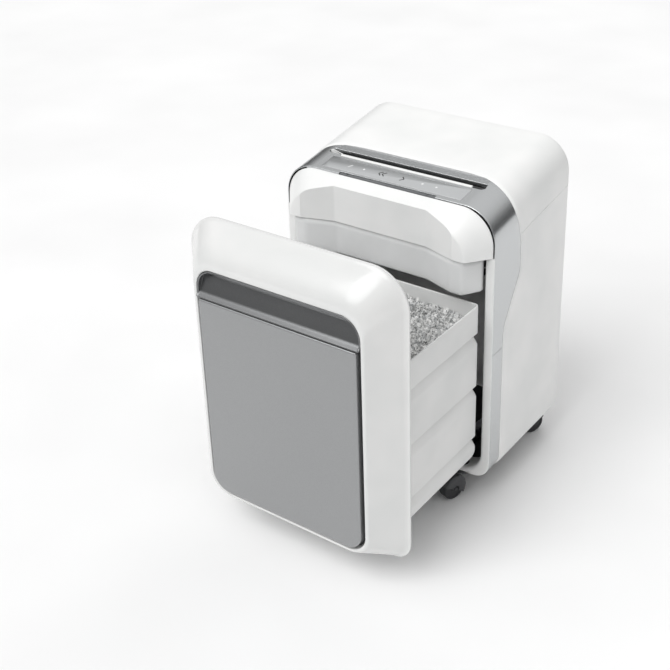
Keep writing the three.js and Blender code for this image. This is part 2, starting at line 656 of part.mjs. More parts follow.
// The heap's top swells in the middle and sinks toward the walls.
function paperTop() {
  const shape = new THREE.Shape();
  shape.moveTo(-BIN_HALF, 0);
  shape.lineTo(BIN_HALF, 0);
  shape.lineTo(BIN_HALF, PAPER_Z - 6);
  shape.quadraticCurveTo(0, PAPER_Z + 22, -BIN_HALF, PAPER_Z - 6);
  return alongY(shape, BIN_FRONT, BIN_BACK, { curveSegments: 10 });
}

function drawerFront() {
  const backY = -PULL;
  const outer = solid(pillow(0, backY, PANEL_THICK, 6));
  const inner = solid(pillow(PANEL_WALL, backY + 1, PANEL_THICK + 1 - PANEL_WALL, 6));
  const window = rounded(WINDOW_HALF + GAP, WINDOW_BOTTOM - GAP, WINDOW_TOP + GAP, 30, 30);
  const hole = solid(alongY(window, backY - PANEL_THICK - 5, backY - PANEL_THICK + 12));
  piece('drawer_front', outer.subtract(inner).subtract(hole), WHITE);

  const face = backY - PANEL_THICK;
  const opening = rounded(WINDOW_HALF, WINDOW_BOTTOM, WINDOW_TOP, 30, 30);
  const plate = solid(alongY(opening, face + 0.6, face + 3.2));
  piece('drawer_inset', plate.intersect(solid(box(-200, 200, -300, 0, 0, GRIP_Z - 0.8))), SATIN);

  const tray = solid(alongY(opening, face + 0.4, face + 14));
  const scoop = [[face - 5, GRIP_Z + 1.6], [face + 2, GRIP_Z + 1.6], [face + 12.4, GRIP_Z + 30],
    [face + 12.4, 460], [face - 5, 460]];
  const inside = rounded(WINDOW_HALF - 1.5, WINDOW_BOTTOM, WINDOW_TOP - 1.5, 28.5, 28.5);
  const within = solid(alongY(inside, face - 5, face + 13));
  const hand = solid(alongX(polygon(scoop), -200, 200)).intersect(within);
  const back = [[face, GRIP_Z], [face + 3, GRIP_Z], [face + 14, GRIP_Z + 30], [face + 14, 460], [face, 460]];
  const kept = solid(alongX(polygon(back), -200, 200));
  piece('grip_tray', tray.intersect(kept).subtract(hand), GRIP_METAL);
}

// ---------------------------------------------------------------- casters
const CASTERS = [
  { name: 'front_left', x: -128, y: 14, turn: -0.3 },
  { name: 'front_right', x: 128, y: 14, turn: -0.3 },
  { name: 'rear_left', x: -128, y: 190, turn: Math.PI - 0.5 },
  { name: 'rear_right', x: 128, y: 190, turn: Math.PI - 0.5 },
];

function casters() {
  for (const { name, x, y, turn } of CASTERS) {
    const axle = [0, -TRAIL, WHEEL_RADIUS];
    const stem = solid(post(STEM_RADIUS, 0, 0, BASE_Z - 4, BASE_Z + 14));
    const disc = solid(post(14, 0, 0, BASE_Z - 6, BASE_Z - 1));
    const side = [[8, BASE_Z - 1.5], [-20, BASE_Z - 1.5], [-TRAIL - 7, 24], [-TRAIL - 6, 13],
      [-TRAIL + 4, 12], [10, 34]];
    const cheek = (x0) => solid(alongX(polygon(side.slice().reverse()), x0, x0 + 2));
    const hood = solid(box(-11, 11, -20, 8, BASE_Z - 3.5, BASE_Z - 1.5));
    const pin = solid(rod(3, -10, 10, axle[1], axle[2], 12));
    const fork = stem.add(disc).add(hood).add(cheek(-11)).add(cheek(9)).add(pin);
    const forkMesh = piece(`caster_fork_${name}`, fork, RUBBER);
    const half = WHEEL_WIDTH / 2;
    const wheel = new THREE.LatheGeometry([
      [3 + GAP, -half], [WHEEL_RADIUS - 2.5, -half], [WHEEL_RADIUS, -half + 3], [WHEEL_RADIUS, half - 3],
      [WHEEL_RADIUS - 2.5, half], [3 + GAP, half], [3 + GAP, -half],
    ].map(([radius, along]) => new THREE.Vector2(radius, along)), 24);
    wheel.rotateZ(-Math.PI / 2).translate(0, axle[1], axle[2]);
    const wheelMesh = piece(`caster_wheel_${name}`, wheel, RUBBER);
    for (const mesh of [forkMesh, wheelMesh]) {
      mesh.position.set(x, y, 0);
      mesh.rotation.z = turn;
    }
  }
}

sidePanels();
headCover();
rearCover();
baseTray();
frontFrame();
trim();
mouth();
fascia();
cutterCover();
chassis();
cutters();
motor();
electrics();
rearFittings();
rails();
bin();
drawerFront();
casters();

export default group;
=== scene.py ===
# Pull-out-bin paper shredder: its visible surfaces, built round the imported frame.
# Shapes are worked in millimetres with y = 0 on the plane of the cabinet's mouth, the drawer
# front toward -Y and the floor at z = 0. in_frame() turns them into the frame's metres.
import math

import bmesh
import bpy
import numpy as np
from mathutils import Matrix, Vector


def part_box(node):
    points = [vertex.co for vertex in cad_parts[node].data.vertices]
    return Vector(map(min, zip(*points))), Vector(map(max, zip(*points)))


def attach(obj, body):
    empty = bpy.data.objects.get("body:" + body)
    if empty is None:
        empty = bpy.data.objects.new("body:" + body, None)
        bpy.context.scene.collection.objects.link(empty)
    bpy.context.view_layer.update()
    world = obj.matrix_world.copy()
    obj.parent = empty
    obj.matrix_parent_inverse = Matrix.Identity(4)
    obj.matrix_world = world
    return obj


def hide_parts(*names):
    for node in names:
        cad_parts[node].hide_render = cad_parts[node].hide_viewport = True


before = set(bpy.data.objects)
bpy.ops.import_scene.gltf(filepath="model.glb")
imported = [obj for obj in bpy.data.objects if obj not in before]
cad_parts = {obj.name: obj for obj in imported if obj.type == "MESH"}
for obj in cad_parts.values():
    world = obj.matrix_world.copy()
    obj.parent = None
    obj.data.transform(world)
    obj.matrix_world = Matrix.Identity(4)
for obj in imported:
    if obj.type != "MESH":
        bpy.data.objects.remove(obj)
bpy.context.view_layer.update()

MM = 0.001
MOUTH_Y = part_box("front_frame")[0].y

# ------------------------------------------------------------------ sizes of the machine, mm
CABINET_HALF = 180.0
CABINET_REAR = 216.0
CABINET_BASE = 45.0
CABINET_TOP = 487.0
SHOULDER_RADIUS = 52.0
FOOT_RADIUS = 30.0
LEAN = 0.153
SEAM_Z = 416.0
TRIM_SEAM_Z = 263.0
TRIM_INSET = 1.6
UNDERSIDE_HALF = 149.0
PANEL_BACK = -210.0
PANEL_DEPTH = 50.0
RIM_DEPTH = 46.0

# The line where silver gives way to white, as its depth y: up the side by height, round the
# shoulder by how far the skin has turned over in degrees, and along the top by distance from x = 0.
TRIM_UP_SIDE = [(20, 32), (283, 32), (291, 33), (300, 36), (362, 74), (367, 76), (372, 77), (388, 77),
                (400, 75.8), (411, 73.6), (423, 70.4), (435, 67)]
TRIM_OVER_SHOULDER = [(0, 67), (9, 64.4), (18, 62.6), (34, 62), (52, 63.2), (65, 65.2),
                      (75, 67.2), (90, 71.5)]
TRIM_ALONG_TOP = [(84, 78), (96, 77.6), (108, 76.6), (119, 74.8), (128, 71.5)]


# ------------------------------------------------------------------ mesh tools
def in_frame(points):
    placed = np.array(points, float) * MM
    placed[..., 1] += MOUTH_Y
    return placed


def crease(form, limit):
    """Smooth faces, with an edge left sharp where its faces turn by more than limit degrees."""
    for face in form.faces:
        face.smooth = True
    for edge in form.edges:
        turned = len(edge.link_faces) == 2 and edge.calc_face_angle(0) > math.radians(limit)
        edge.smooth = not turned


def shell(name, points, faces, sharp=35, outward=True, weld=0.01):
    """A mesh object from millimetre points, welded, with its faces turned outward."""
    mesh = bpy.data.meshes.new(name)
    mesh.from_pydata(in_frame(points).tolist(), [], faces)
    form = bmesh.new()
    form.from_mesh(mesh)
    bmesh.ops.remove_doubles(form, verts=form.verts, dist=weld * MM)
    bmesh.ops.dissolve_degenerate(form, edges=form.edges, dist=0.0005 * MM)
    if outward:
        bmesh.ops.recalc_face_normals(form, faces=form.faces)
    crease(form, sharp)
    form.to_mesh(mesh)
    form.free()
    thing = bpy.data.objects.new(name, mesh)
    bpy.context.scene.collection.objects.link(thing)
    return thing


def loft(rings, ring_closed=True, stack_closed=False, capped=True):
    """Quads between neighbouring rings of equally many points, with flat caps on open ends."""
    rings = np.asarray(rings, float)
    count, size = rings.shape[:2]
    faces = []
    for i in range(count if stack_closed else count - 1):
        for j in range(size if ring_closed else size - 1):
            below = ((i + 1) % count) * size
            right = (j + 1) % size
            faces.append((i * size + j, i * size + right, below + right, below + j))
    if capped and ring_closed and not stack_closed:
        faces.append(tuple(range(size))[::-1])
        faces.append(tuple((count - 1) * size + j for j in range(size)))
    if capped and stack_closed and not ring_closed:
        faces.append(tuple(i * size for i in range(count)))
        faces.append(tuple(i * size + size - 1 for i in range(count))[::-1])
    return rings.reshape(-1, 3), faces


def joined(parts):
    """Several (points, faces) sets as one."""
    points, faces = [], []
    for some_points, some_faces in parts:
        shift = len(points)
        points.extend(np.asarray(some_points, float).tolist())
        faces.extend(tuple(k + shift for k in face) for face in some_faces)
    return points, faces


def evaluated(thing):
    """The object's mesh with its modifiers applied, as a plain mesh object of the same name."""
    result = thing.evaluated_get(bpy.context.evaluated_depsgraph_get())
    mesh = bpy.data.meshes.new_from_object(result)
    thing.modifiers.clear()
    thing.data = mesh
    return thing


def thickened(thing, millimetres, inward=True):
    wall = thing.modifiers.new("wall", "SOLIDIFY")
    wall.thickness = millimetres * MM
    wall.offset = -1 if inward else 1
    wall.use_even_offset = True
    return evaluated(thing)


def cut(thing, tools, sharp=35):
    """Takes the tools' volumes out of a closed piece, then removes the tools."""
    for tool in tools:
        take = thing.modifiers.new("cut", "BOOLEAN")
        take.operation = "DIFFERENCE"
        take.solver = "EXACT"
        take.object = tool
    evaluated(thing)
    for tool in tools:
        bpy.data.objects.remove(tool)
    form = bmesh.new()
    form.from_mesh(thing.data)
    bmesh.ops.remove_doubles(form, verts=form.verts, dist=0.004 * MM)
    crease(form, sharp)
    form.to_mesh(thing.data)
    form.free()
    return thing


def eased(t):
    t = min(1.0, max(0.0, t))
    return t * t * (3 - 2 * t)


def rounded(x0, x1, z0, z1, low, high, arc=14, straight=6):
    """Closed loop round a rectangle, anticlockwise, with one radius for each pair of corners."""
    corners = [(x1 - low, z0 + low, low), (x1 - high, z1 - high, high),
               (x0 + high, z1 - high, high), (x0 + low, z0 + low, low)]
    loop = []
    for k, (cx, cz, radius) in enumerate(corners):
        for i in range(arc + 1):
            turn = math.radians(-90 + 90 * (k + i / arc))
            loop.append((cx + radius * math.cos(turn), cz + radius * math.sin(turn)))
        after = corners[(k + 1) % 4]
        turn = math.radians(90 * k)
        end = (after[0] + after[2] * math.cos(turn), after[1] + after[2] * math.sin(turn))
        start = loop[-1]
        for i in range(1, straight):
            share = i / straight
            loop.append(tuple(start[m] + (end[m] - start[m]) * share for m in range(2)))
    return np.array(loop)


def upright(loop, y):
    """A loop drawn in (x, z), stood up at depth y."""
    return np.column_stack([loop[:, 0], np.full(len(loop), y), loop[:, 1]])


def level(loop, z):
    """A loop drawn in (x, y), laid at height z."""
    return np.column_stack([loop[:, 0], loop[:, 1], np.full(len(loop), z)])


def softened(corners, radius, steps=5, closed=True):
    """A polygon with each corner replaced by a short curve that starts radius away from it."""
    corners = np.asarray(corners, float)
    count = len(corners)
    loop = []
    for k in range(count):
        here = corners[k]
        if not closed and k in (0, count - 1):
            loop.append(here)
            continue
        before, after = corners[k - 1] - here, corners[(k + 1) % count] - here
        reach = min(radius, 0.45 * np.linalg.norm(before), 0.45 * np.linalg.norm(after))
        start = here + before / np.linalg.norm(before) * reach
        end = here + after / np.linalg.norm(after) * reach
        for i in range(steps + 1):
            t = i / steps
            loop.append((1 - t) ** 2 * start + 2 * t * (1 - t) * here + t * t * end)
    return np.array(loop)


def spread_out(loop, distance, closed=True):
    """The same loop moved sideways by distance, to the right of its direction of travel."""
    before = np.roll(loop, 1, axis=0)
    after = np.roll(loop, -1, axis=0)
    if not closed:
        before[0], after[-1] = loop[0], loop[-1]
    tangent = after - before
    tangent /= np.linalg.norm(tangent, axis=1)[:, None] + 1e-12
    return loop + np.column_stack([tangent[:, 1], -tangent[:, 0]]) * distance


# ------------------------------------------------------------------ node tools
def add(tree, kind, inputs=None, tones=(), **settings):
    """Adds a node with its settings, its ramp's tones, and its inputs set or linked."""
    node = tree.nodes.new(kind)
    for name, value in settings.items():
        setattr(node, name, value)
    for k, (place, code) in enumerate(tones):
        node.color_ramp.elements[k].position = place
        node.color_ramp.elements[k].color = linear(code)
    for socket, value in (inputs or {}).items():
        target = node.inputs[socket]
        if isinstance(value, bpy.types.NodeSocket):
            tree.links.new(value, target)
        else:
            target.default_value = value
    return node


def linear(code):
    """An sRGB hex colour as linear RGBA."""
    channels = [int(code[i:i + 2], 16) / 255 for i in (0, 2, 4)]
    return [c / 12.92 if c <= 0.04045 else ((c + 0.055) / 1.055) ** 2.4 for c in channels] + [1.0]


def per_mm(millimetres):
    """The Scale of a pattern whose features are that many millimetres apart."""
    return 1 / (millimetres * MM)


def finish(name, **shader_values):
    """A material whose shader holds those plain values: (material, tree, shader, object coordinates)."""
    material = bpy.data.materials.new(name)
    material.use_nodes = True
    tree = material.node_tree
    tree.nodes.clear()
    shader = add(tree, "ShaderNodeBsdfPrincipled")
    for socket, value in shader_values.items():
        shader.inputs[socket.replace("_", " ")].default_value = value
    add(tree, "ShaderNodeOutputMaterial", {"Surface": shader.outputs[0]})
    where = add(tree, "ShaderNodeTexCoord").outputs["Object"]
    return material, tree, shader, where


def moulded(name, dark, light, rough, grain_mm, grain_depth, ior=1.53, coat=0.0):
    """Injection-moulded plastic: a slow drift of tone, and a mould grain that breaks its gloss."""
    material, tree, shader, where = finish(name, IOR=ior, Coat_Weight=coat, Coat_Roughness=0.08)
    drift = add(tree, "ShaderNodeTexNoise", {"Vector": where, "Scale": per_mm(90), "Detail": 2.0})
    tone = add(tree, "ShaderNodeValToRGB", {"Fac": drift.outputs["Fac"]},
               [(0.35, dark), (0.65, light)]).outputs["Color"]
    tree.links.new(tone, shader.inputs["Base Color"])
    grain = add(tree, "ShaderNodeTexNoise", {"Vector": where, "Scale": per_mm(grain_mm), "Detail": 3.0})
    gloss = add(tree, "ShaderNodeMapRange",
                {"Value": grain.outputs["Fac"], "To Min": rough - 0.05, "To Max": rough + 0.06})
    tree.links.new(gloss.outputs[0], shader.inputs["Roughness"])
    bump = add(tree, "ShaderNodeBump", {"Height": grain.outputs["Fac"], "Strength": 0.35,
                                        "Distance": grain_depth * MM})
    tree.links.new(bump.outputs[0], shader.inputs["Normal"])
    return material


def metal_flake(name, dark, light, metallic, rough, flake_mm, coat, smear=1.0):
    """Metallic paint or foil: fine flakes that tilt the surface a little and differ in tone."""
    material, tree, shader, where = finish(name, Metallic=metallic, Coat_Weight=coat, Coat_Roughness=0.12)
    stretch = add(tree, "ShaderNodeMapping", {"Vector": where, "Scale": (1.0, 1.0, smear)})
    flake = add(tree, "ShaderNodeTexVoronoi", {"Vector": stretch.outputs[0], "Scale": per_mm(flake_mm)})
    shine = add(tree, "ShaderNodeSeparateColor", {"Color": flake.outputs["Color"]})
    tone = add(tree, "ShaderNodeValToRGB", {"Fac": shine.outputs[0]},
               [(0.0, dark), (1.0, light)]).outputs["Color"]
    tree.links.new(tone, shader.inputs["Base Color"])
    drift = add(tree, "ShaderNodeTexNoise", {"Vector": where, "Scale": per_mm(60), "Detail": 3.0})
    gloss = add(tree, "ShaderNodeMapRange",
                {"Value": drift.outputs["Fac"], "To Min": rough - 0.03, "To Max": rough + 0.04})
    tree.links.new(gloss.outputs[0], shader.inputs["Roughness"])
    bump = add(tree, "ShaderNodeBump", {"Height": shine.outputs[1], "Strength": 0.05,
                                        "Distance": 0.02 * MM})
    tree.links.new(bump.outputs[0], shader.inputs["Normal"])
    return material


def bare_steel(name, dark, light, rough, grain_mm, smear):
    """Sheet or turned steel: grain lines drawn out along one direction."""
    material, tree, shader, where = finish(name, Metallic=1.0)
    stretch = add(tree, "ShaderNodeMapping", {"Vector": where, "Scale": smear})
    grain = add(tree, "ShaderNodeTexNoise", {"Vector": stretch.outputs[0], "Scale": per_mm(grain_mm),
                                             "Detail": 4.0})
    tone = add(tree, "ShaderNodeValToRGB", {"Fac": grain.outputs["Fac"]},
               [(0.3, dark), (0.7, light)]).outputs["Color"]
    tree.links.new(tone, shader.inputs["Base Color"])
    gloss = add(tree, "ShaderNodeMapRange",
                {"Value": grain.outputs["Fac"], "To Min": rough - 0.08, "To Max": rough + 0.1})
    tree.links.new(gloss.outputs[0], shader.inputs["Roughness"])
    bump = add(tree, "ShaderNodeBump", {"Height": grain.outputs["Fac"], "Strength": 0.25,
                                        "Distance": 0.03 * MM})
    tree.links.new(bump.outputs[0], shader.inputs["Normal"])
    return material


# ------------------------------------------------------------------ materials
# Semi-gloss ABS, moulded against a polished tool: bright white with a soft broad highlight.
GLOSS_WHITE = moulded("semi_gloss_abs", "eeefee", "f6f6f5", 0.34, 1.6, 0.010)
# Gloss ABS of the drawer front, polished further, so edges carry a tight light line.
PANEL_WHITE = moulded("high_gloss_abs", "dfe0df", "e6e6e5", 0.24, 2.2, 0.008, coat=0.3)
# Polypropylene of the bin and mouth frame, from a spark-eroded tool: matt, faintly grained.
MATT_WHITE = moulded("matt_polypropylene", "e6e7e6", "efefee", 0.52, 0.9, 0.045, ior=1.49)
# Fine-textured ABS of the cutter cover: pale grey, satin.
PALE_GREY = moulded("satin_grey_abs", "dcdddd", "e4e5e5", 0.42, 1.1, 0.03)
# Silver metallic paint over ABS on the head's trim: bright flakes.
SILVER_PAINT = metal_flake("silver_metallic_paint", "c2c4c5", "c9cbcc", 0.95, 0.24, 0.6, 0.0)
# Satin silver paint on the drawer's plate: finer flake, flatter sheen.
SATIN_SILVER = metal_flake("satin_silver_paint", "9c9d9e", "a3a4a5", 0.8, 0.34, 0.6, 0.0)
# Dark metallic paint in the finger grip.
GRIP_METALLIC = metal_flake("dark_metallic_paint", "7a7b7c", "828384", 0.85, 0.30, 0.6, 0.0)
# Film over the touch keys: satin polyester, printed silver from behind.
KEY_FILM = metal_flake("silver_backed_film", "cccecf", "d2d4d5", 0.9, 0.30, 0.6, 0.0)
# Smoked polycarbonate of the light bar.
LIGHT_BAR = moulded("smoked_polycarbonate", "5a5c5e", "6a6c6e", 0.22, 2.0, 0.005, ior=1.58)
# Carbon-black ABS of inner parts, with an eroded mould grain.
BLACK_ABS = moulded("grained_black_abs", "141516", "1d1e20", 0.48, 0.9, 0.05)
# Soft PVC of the cord gland.
BLACK_PVC = moulded("soft_black_pvc", "1a1b1c", "242526", 0.62, 1.2, 0.04, ior=1.52)
# Zinc-plated sheet steel: cool grey, faintly mottled along the rolling direction.
ZINC_STEEL = bare_steel("zinc_plated_sheet_steel", "8a8e93", "a8acb0", 0.34, 2.5, (0.2, 1.0, 1.0))
# Ground tool steel of the cutters, with turning marks round the shaft and a film of oil.
CUTTER_STEEL = bare_steel("ground_tool_steel", "6f7276", "93969a", 0.30, 0.8, (1.0, 0.15, 0.15))
# Unfilled nylon of the idler gear: ivory, waxy.
NYLON = moulded("natural_nylon", "d3ccb6", "ded8c5", 0.46, 1.0, 0.02, ior=1.53)
# Stove-enamelled motor can.
MOTOR_ENAMEL = metal_flake("dark_stove_enamel", "4f5357", "63676b", 0.5, 0.4, 1.2, 0.1)
# Nylon of the caster forks, glass-filled, dark grey.
CASTER_NYLON = moulded("glass_filled_nylon", "37383a", "454648", 0.46, 0.8, 0.05)
# Polyurethane tread of the casters.
CASTER_TREAD = moulded("polyurethane_tread", "2c2d2f", "38393b", 0.55, 1.2, 0.05)


def circuit_laminate():
    """Glass-epoxy board under green solder resist, with a grid of traces every 2.5 mm."""
    material, tree, shader, where = finish("green_solder_resist", IOR=1.55)
    traces = add(tree, "ShaderNodeTexBrick", {"Vector": where, "Scale": per_mm(5.0), "Mortar Size": 0.06,
                                              "Color1": linear("1c5a3a"), "Color2": linear("1f6240"),
                                              "Mortar": linear("3b7c4f")})
    tree.links.new(traces.outputs["Color"], shader.inputs["Base Color"])
    gloss = add(tree, "ShaderNodeMapRange",
                {"Value": traces.outputs["Fac"], "To Min": 0.3, "To Max": 0.45})
    tree.links.new(gloss.outputs[0], shader.inputs["Roughness"])
    return material


def shredded_sheet():
    """Micro-cut office paper: white stock with ink specks, each scrap a slightly different tone."""
    material, tree, shader, where = finish("micro_cut_office_paper", Roughness=0.85, IOR=1.45)
    scrap = add(tree, "ShaderNodeAttribute", attribute_name="tone")
    stock = add(tree, "ShaderNodeValToRGB", {"Fac": scrap.outputs["Fac"]},
                [(0.0, "b4b6b7"), (0.55, "f8f8f7")]).outputs["Color"]
    ink = add(tree, "ShaderNodeTexNoise", {"Vector": where, "Scale": per_mm(2.6), "Detail": 2.0})
    printed = add(tree, "ShaderNodeValToRGB", {"Fac": ink.outputs["Fac"]},
                  [(0.35, "3c3e42"), (0.41, "ffffff")]).outputs["Color"]
    both = add(tree, "ShaderNodeMix", {"Factor": 0.75, 6: stock, 7: printed}, data_type="RGBA",
               blend_type="MULTIPLY")
    tree.links.new(both.outputs[2], shader.inputs["Base Color"])
    fibre = add(tree, "ShaderNodeTexNoise", {"Vector": where, "Scale": per_mm(0.7), "Detail": 2.0})
    bump = add(tree, "ShaderNodeBump", {"Height": fibre.outputs["Fac"], "Strength": 0.4,
                                        "Distance": 0.05 * MM})
    tree.links.new(bump.outputs[0], shader.inputs["Normal"])
    return material


CIRCUIT = circuit_laminate()
CONFETTI = shredded_sheet()


def dress(thing, material, body, replaces=()):
    """Gives a finished piece its material, its body and its place in the tables."""
    thing.data.materials.clear()
    thing.data.materials.append(material)
    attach(thing, body)
    if replaces:
        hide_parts(*replaces)
    return thing


# ------------------------------------------------------------------ camera and light
def camera():
    """A three-quarter view from the front right, looking down on the open drawer."""
    centre = (864.7, -1252.9, 1148.0)
    azimuth, elevation, roll = (math.radians(a) for a in (36.59, 25.72, -1.80))
    right = np.array([math.cos(azimuth), math.sin(azimuth), 0])
    ahead = np.array([-math.sin(azimuth) * math.cos(elevation),
                      math.cos(azimuth) * math.cos(elevation), -math.sin(elevation)])
    up = np.cross(right, ahead)
    turned_right = right * math.cos(roll) + up * math.sin(roll)
    turned_up = up * math.cos(roll) - right * math.sin(roll)
    data = bpy.data.cameras.new("camera")
    data.sensor_width = 36
    data.lens = 63.4836
    data.shift_x = -0.013433
    data.shift_y = -0.15
    data.clip_end = 50
    eye = bpy.data.objects.new("camera", data)
    axes = np.column_stack([turned_right, turned_up, -ahead])
    eye.matrix_world = Matrix.Translation([c * MM for c in centre]) @ Matrix(axes.tolist()).to_4x4()
    bpy.context.scene.collection.objects.link(eye)
    bpy.context.scene.camera = eye


def studio():
    """A white room, brightest overhead and dim near the horizon, and one wide light from above."""
    bpy.context.scene.view_settings.view_transform = "Standard"
    world = bpy.data.worlds.new("studio")
    world.use_nodes = True
    tree = world.node_tree
    tree.nodes.clear()
    toward = add(tree, "ShaderNodeTexCoord").outputs["Generated"]
    height = add(tree, "ShaderNodeSeparateXYZ", {0: toward}).outputs[2]
    ramp = add(tree, "ShaderNodeValToRGB", {"Fac": height})
    stops = ramp.color_ramp.elements
    stops[0].position, stops[0].color = 0.0, (0.10, 0.10, 0.105, 1)
    stops[1].position, stops[1].color = 0.76, (1, 1, 1, 1)
    for place, level in ((0.16, 0.10), (0.36, 0.34), (0.56, 0.80)):
        stops.new(place).color = (level, level, level, 1)
    sky = add(tree, "ShaderNodeBackground", {"Color": ramp.outputs["Color"], "Strength": 0.86})
    add(tree, "ShaderNodeOutputWorld", {"Surface": sky.outputs[0]})
    bpy.context.scene.world = world
    data = bpy.data.lights.new("wide_overhead_light", "SUN")
    data.energy = 1.65
    data.angle = math.radians(45)
    lamp = bpy.data.objects.new("wide_overhead_light", data)
    lamp.rotation_mode = "QUATERNION"
    lamp.rotation_quaternion = Vector((0.16, 0.66, -0.74)).to_track_quat("-Z", "Y")
    bpy.context.scene.collection.objects.link(lamp)


def floor():
    """A pale seamless floor, slightly mottled like painted board."""
    size = 6000
    points = [(-size, -size, -0.05), (size, -size, -0.05), (size, size, -0.05), (-size, size, -0.05)]
    ground = shell("studio_floor", points, [(0, 1, 2, 3)], outward=False)
    material, tree, shader, where = finish("pale_painted_board", Roughness=0.7, Specular_IOR_Level=0.2)
    mottle = add(tree, "ShaderNodeTexNoise", {"Vector": where, "Scale": per_mm(400), "Detail": 2.0})
    tone = add(tree, "ShaderNodeValToRGB", {"Fac": mottle.outputs["Fac"]},
               [(0.3, "f4f4f4"), (0.7, "fafafa")]).outputs["Color"]
    tree.links.new(tone, shader.inputs["Base Color"])
    ground.data.materials.append(material)


# ------------------------------------------------------------------ cabinet skin
def lean_share(z):
    """The skin's grid stands straight at the trim's seam and leans fully from z = 360 up."""
    return eased((z - TRIM_SEAM_Z) / (360 - TRIM_SEAM_Z))


def read_off(table, value):
    places, depths = zip(*table)
    return float(np.interp(value, places, depths))


def trim_border(point):
    """Depth at which silver gives way to white on the column of skin that starts at that point."""
    x, z, nx, nz = point
    if nz >= 1:
        return read_off(TRIM_ALONG_TOP, abs(x))
    if nz > 0:
        return read_off(TRIM_OVER_SHOULDER, math.degrees(math.asin(nz)))
    depth = 32.0
    for _ in range(12):
        lift = 0 if z > 395 else LEAN * lean_share(z) * depth
        depth = read_off(TRIM_UP_SIDE, z + lift)
    return depth


def on_skin(point, inset, y):
    """A point of the cabinet's outline, drawn in by inset, at depth y."""
    x, z, nx, nz = point
    return (x - nx * inset, y, z - nz * inset + LEAN * lean_share(z) * y)


def over_path(low_z, side_steps, arc=30, top=28):
    """The outline from the left side at low_z, over the top, to the right side: (x, z, nx, nz)."""
    hub_x, hub_z = CABINET_HALF - SHOULDER_RADIUS, CABINET_TOP - SHOULDER_RADIUS
    heights = np.linspace(low_z, hub_z, side_steps, endpoint=False)
    left = [(-CABINET_HALF, z, -1, 0) for z in heights]
    shoulder = []
    for turn in np.radians(np.linspace(180, 90, arc, endpoint=False)):
        c, s = math.cos(turn), math.sin(turn)
        shoulder.append((-hub_x + SHOULDER_RADIUS * c, hub_z + SHOULDER_RADIUS * s, c, s))
    half = left + shoulder
    ends = list(np.linspace(-hub_x, -82, 9)) + list(np.linspace(-82, 82, top)[1:])
    flat = [(x, CABINET_TOP, 0, 1) for x in ends + list(np.linspace(82, hub_x, 9)[1:])]
    return half + flat + [(-x, z, -nx, nz) for x, z, nx, nz in reversed(half)]


def under_path(sign, high_z, side_steps, arc=14):
    """The outline from high_z on one side, down round the foot, to the underside's plate."""
    heights = np.linspace(high_z, CABINET_BASE + FOOT_RADIUS, side_steps, endpoint=False)
    path = [(sign * CABINET_HALF, z, sign, 0) for z in heights]
    hub_x, hub_z = CABINET_HALF - FOOT_RADIUS, CABINET_BASE + FOOT_RADIUS
    for turn in np.radians(np.linspace(0, -90, arc)):
        c, s = math.cos(turn), math.sin(turn)
        path.append((sign * (hub_x + FOOT_RADIUS * c), hub_z + FOOT_RADIUS * s, sign * c, s))
    path.append((sign * UNDERSIDE_HALF, CABINET_BASE, 0, -1))
    return path


def skin_profile(front, rear, wall=3.0):
    """Section of the white skin from its chamfered front edge to the rear, as (y, inset)."""
    outer = [(front, 1.9), (front + 0.15, 1.62), (front + 0.5, 1.4), (front + 3.9, 0.16), (front + 4.5, 0.03),
             (front + 5.2, 0)]
    middle = [(front + 5.2 + (rear - 0.8 - front - 5.2) * t, 0) for t in (0.1, 0.3, 0.5, 0.7, 0.9, 1.0)]
    end = [(rear - 0.25, 0.08), (rear, 0.35), (rear, wall)]
    return outer + middle + end + [((front + rear) / 2, wall), (front, wall)]


def white_skin(name, path):
    rings = []
    for point in path:
        front = trim_border(point) + 0.1
        rings.append([on_skin(point, inset, y) for y, inset in skin_profile(front, CABINET_REAR)])
    columns = np.asarray(rings).transpose(1, 0, 2)
    return shell(name, *loft(columns, ring_closed=False, stack_closed=True), sharp=30)


def cabinet_skins():
    cover = white_skin("head_cover_skin", over_path(SEAM_Z, 3))
    dress(cover, GLOSS_WHITE, "cabinet", ["head_cover"])
    for side, sign in (("left", -1), ("right", 1)):
        panel = white_skin(f"side_panel_skin_{side}", under_path(sign, SEAM_Z - 0.5, 44))
        dress(panel, GLOSS_WHITE, "cabinet", [f"side_panel_{side}"])


def trim_profile(rear, wall):
    """Section of the silver trim: a bright rolled front edge, a flat face, a soft rear edge."""
    face = [(1.5, 2.9), (1.5, 2.5), (1.62, 2.12), (1.95, 1.82), (2.5, 1.66), (3.3, 1.6)]
    flat = [(3.3 + (rear - 4.3) * t, 1.6) for t in (0.12, 0.3, 0.5, 0.7, 0.88, 1.0)]
    end = [(rear - 0.55, 1.66), (rear - 0.3, 1.85), (rear - 0.3, 1.6 + wall)]
    return face + flat + end + [(rear / 2, 1.6 + wall), (1.5, 1.6 + wall)]


def trim_skin(name, path, wall_at):
    rings = []
    for point in path:
        rear = trim_border(point)
        rings.append([on_skin(point, inset, y) for y, inset in trim_profile(rear, wall_at(point[0]))])
    columns = np.asarray(rings).transpose(1, 0, 2)
    return shell(name, *loft(columns, ring_closed=False, stack_closed=True), sharp=40)


def head_height(x, y, inset=TRIM_INSET):
    """Height of the silver head's surface at a place in plan."""
    past = max(0.0, abs(x) - (CABINET_HALF - SHOULDER_RADIUS))
    hub = CABINET_TOP - SHOULDER_RADIUS
    return hub + math.sqrt((SHOULDER_RADIUS - inset) ** 2 - past ** 2) + LEAN * y


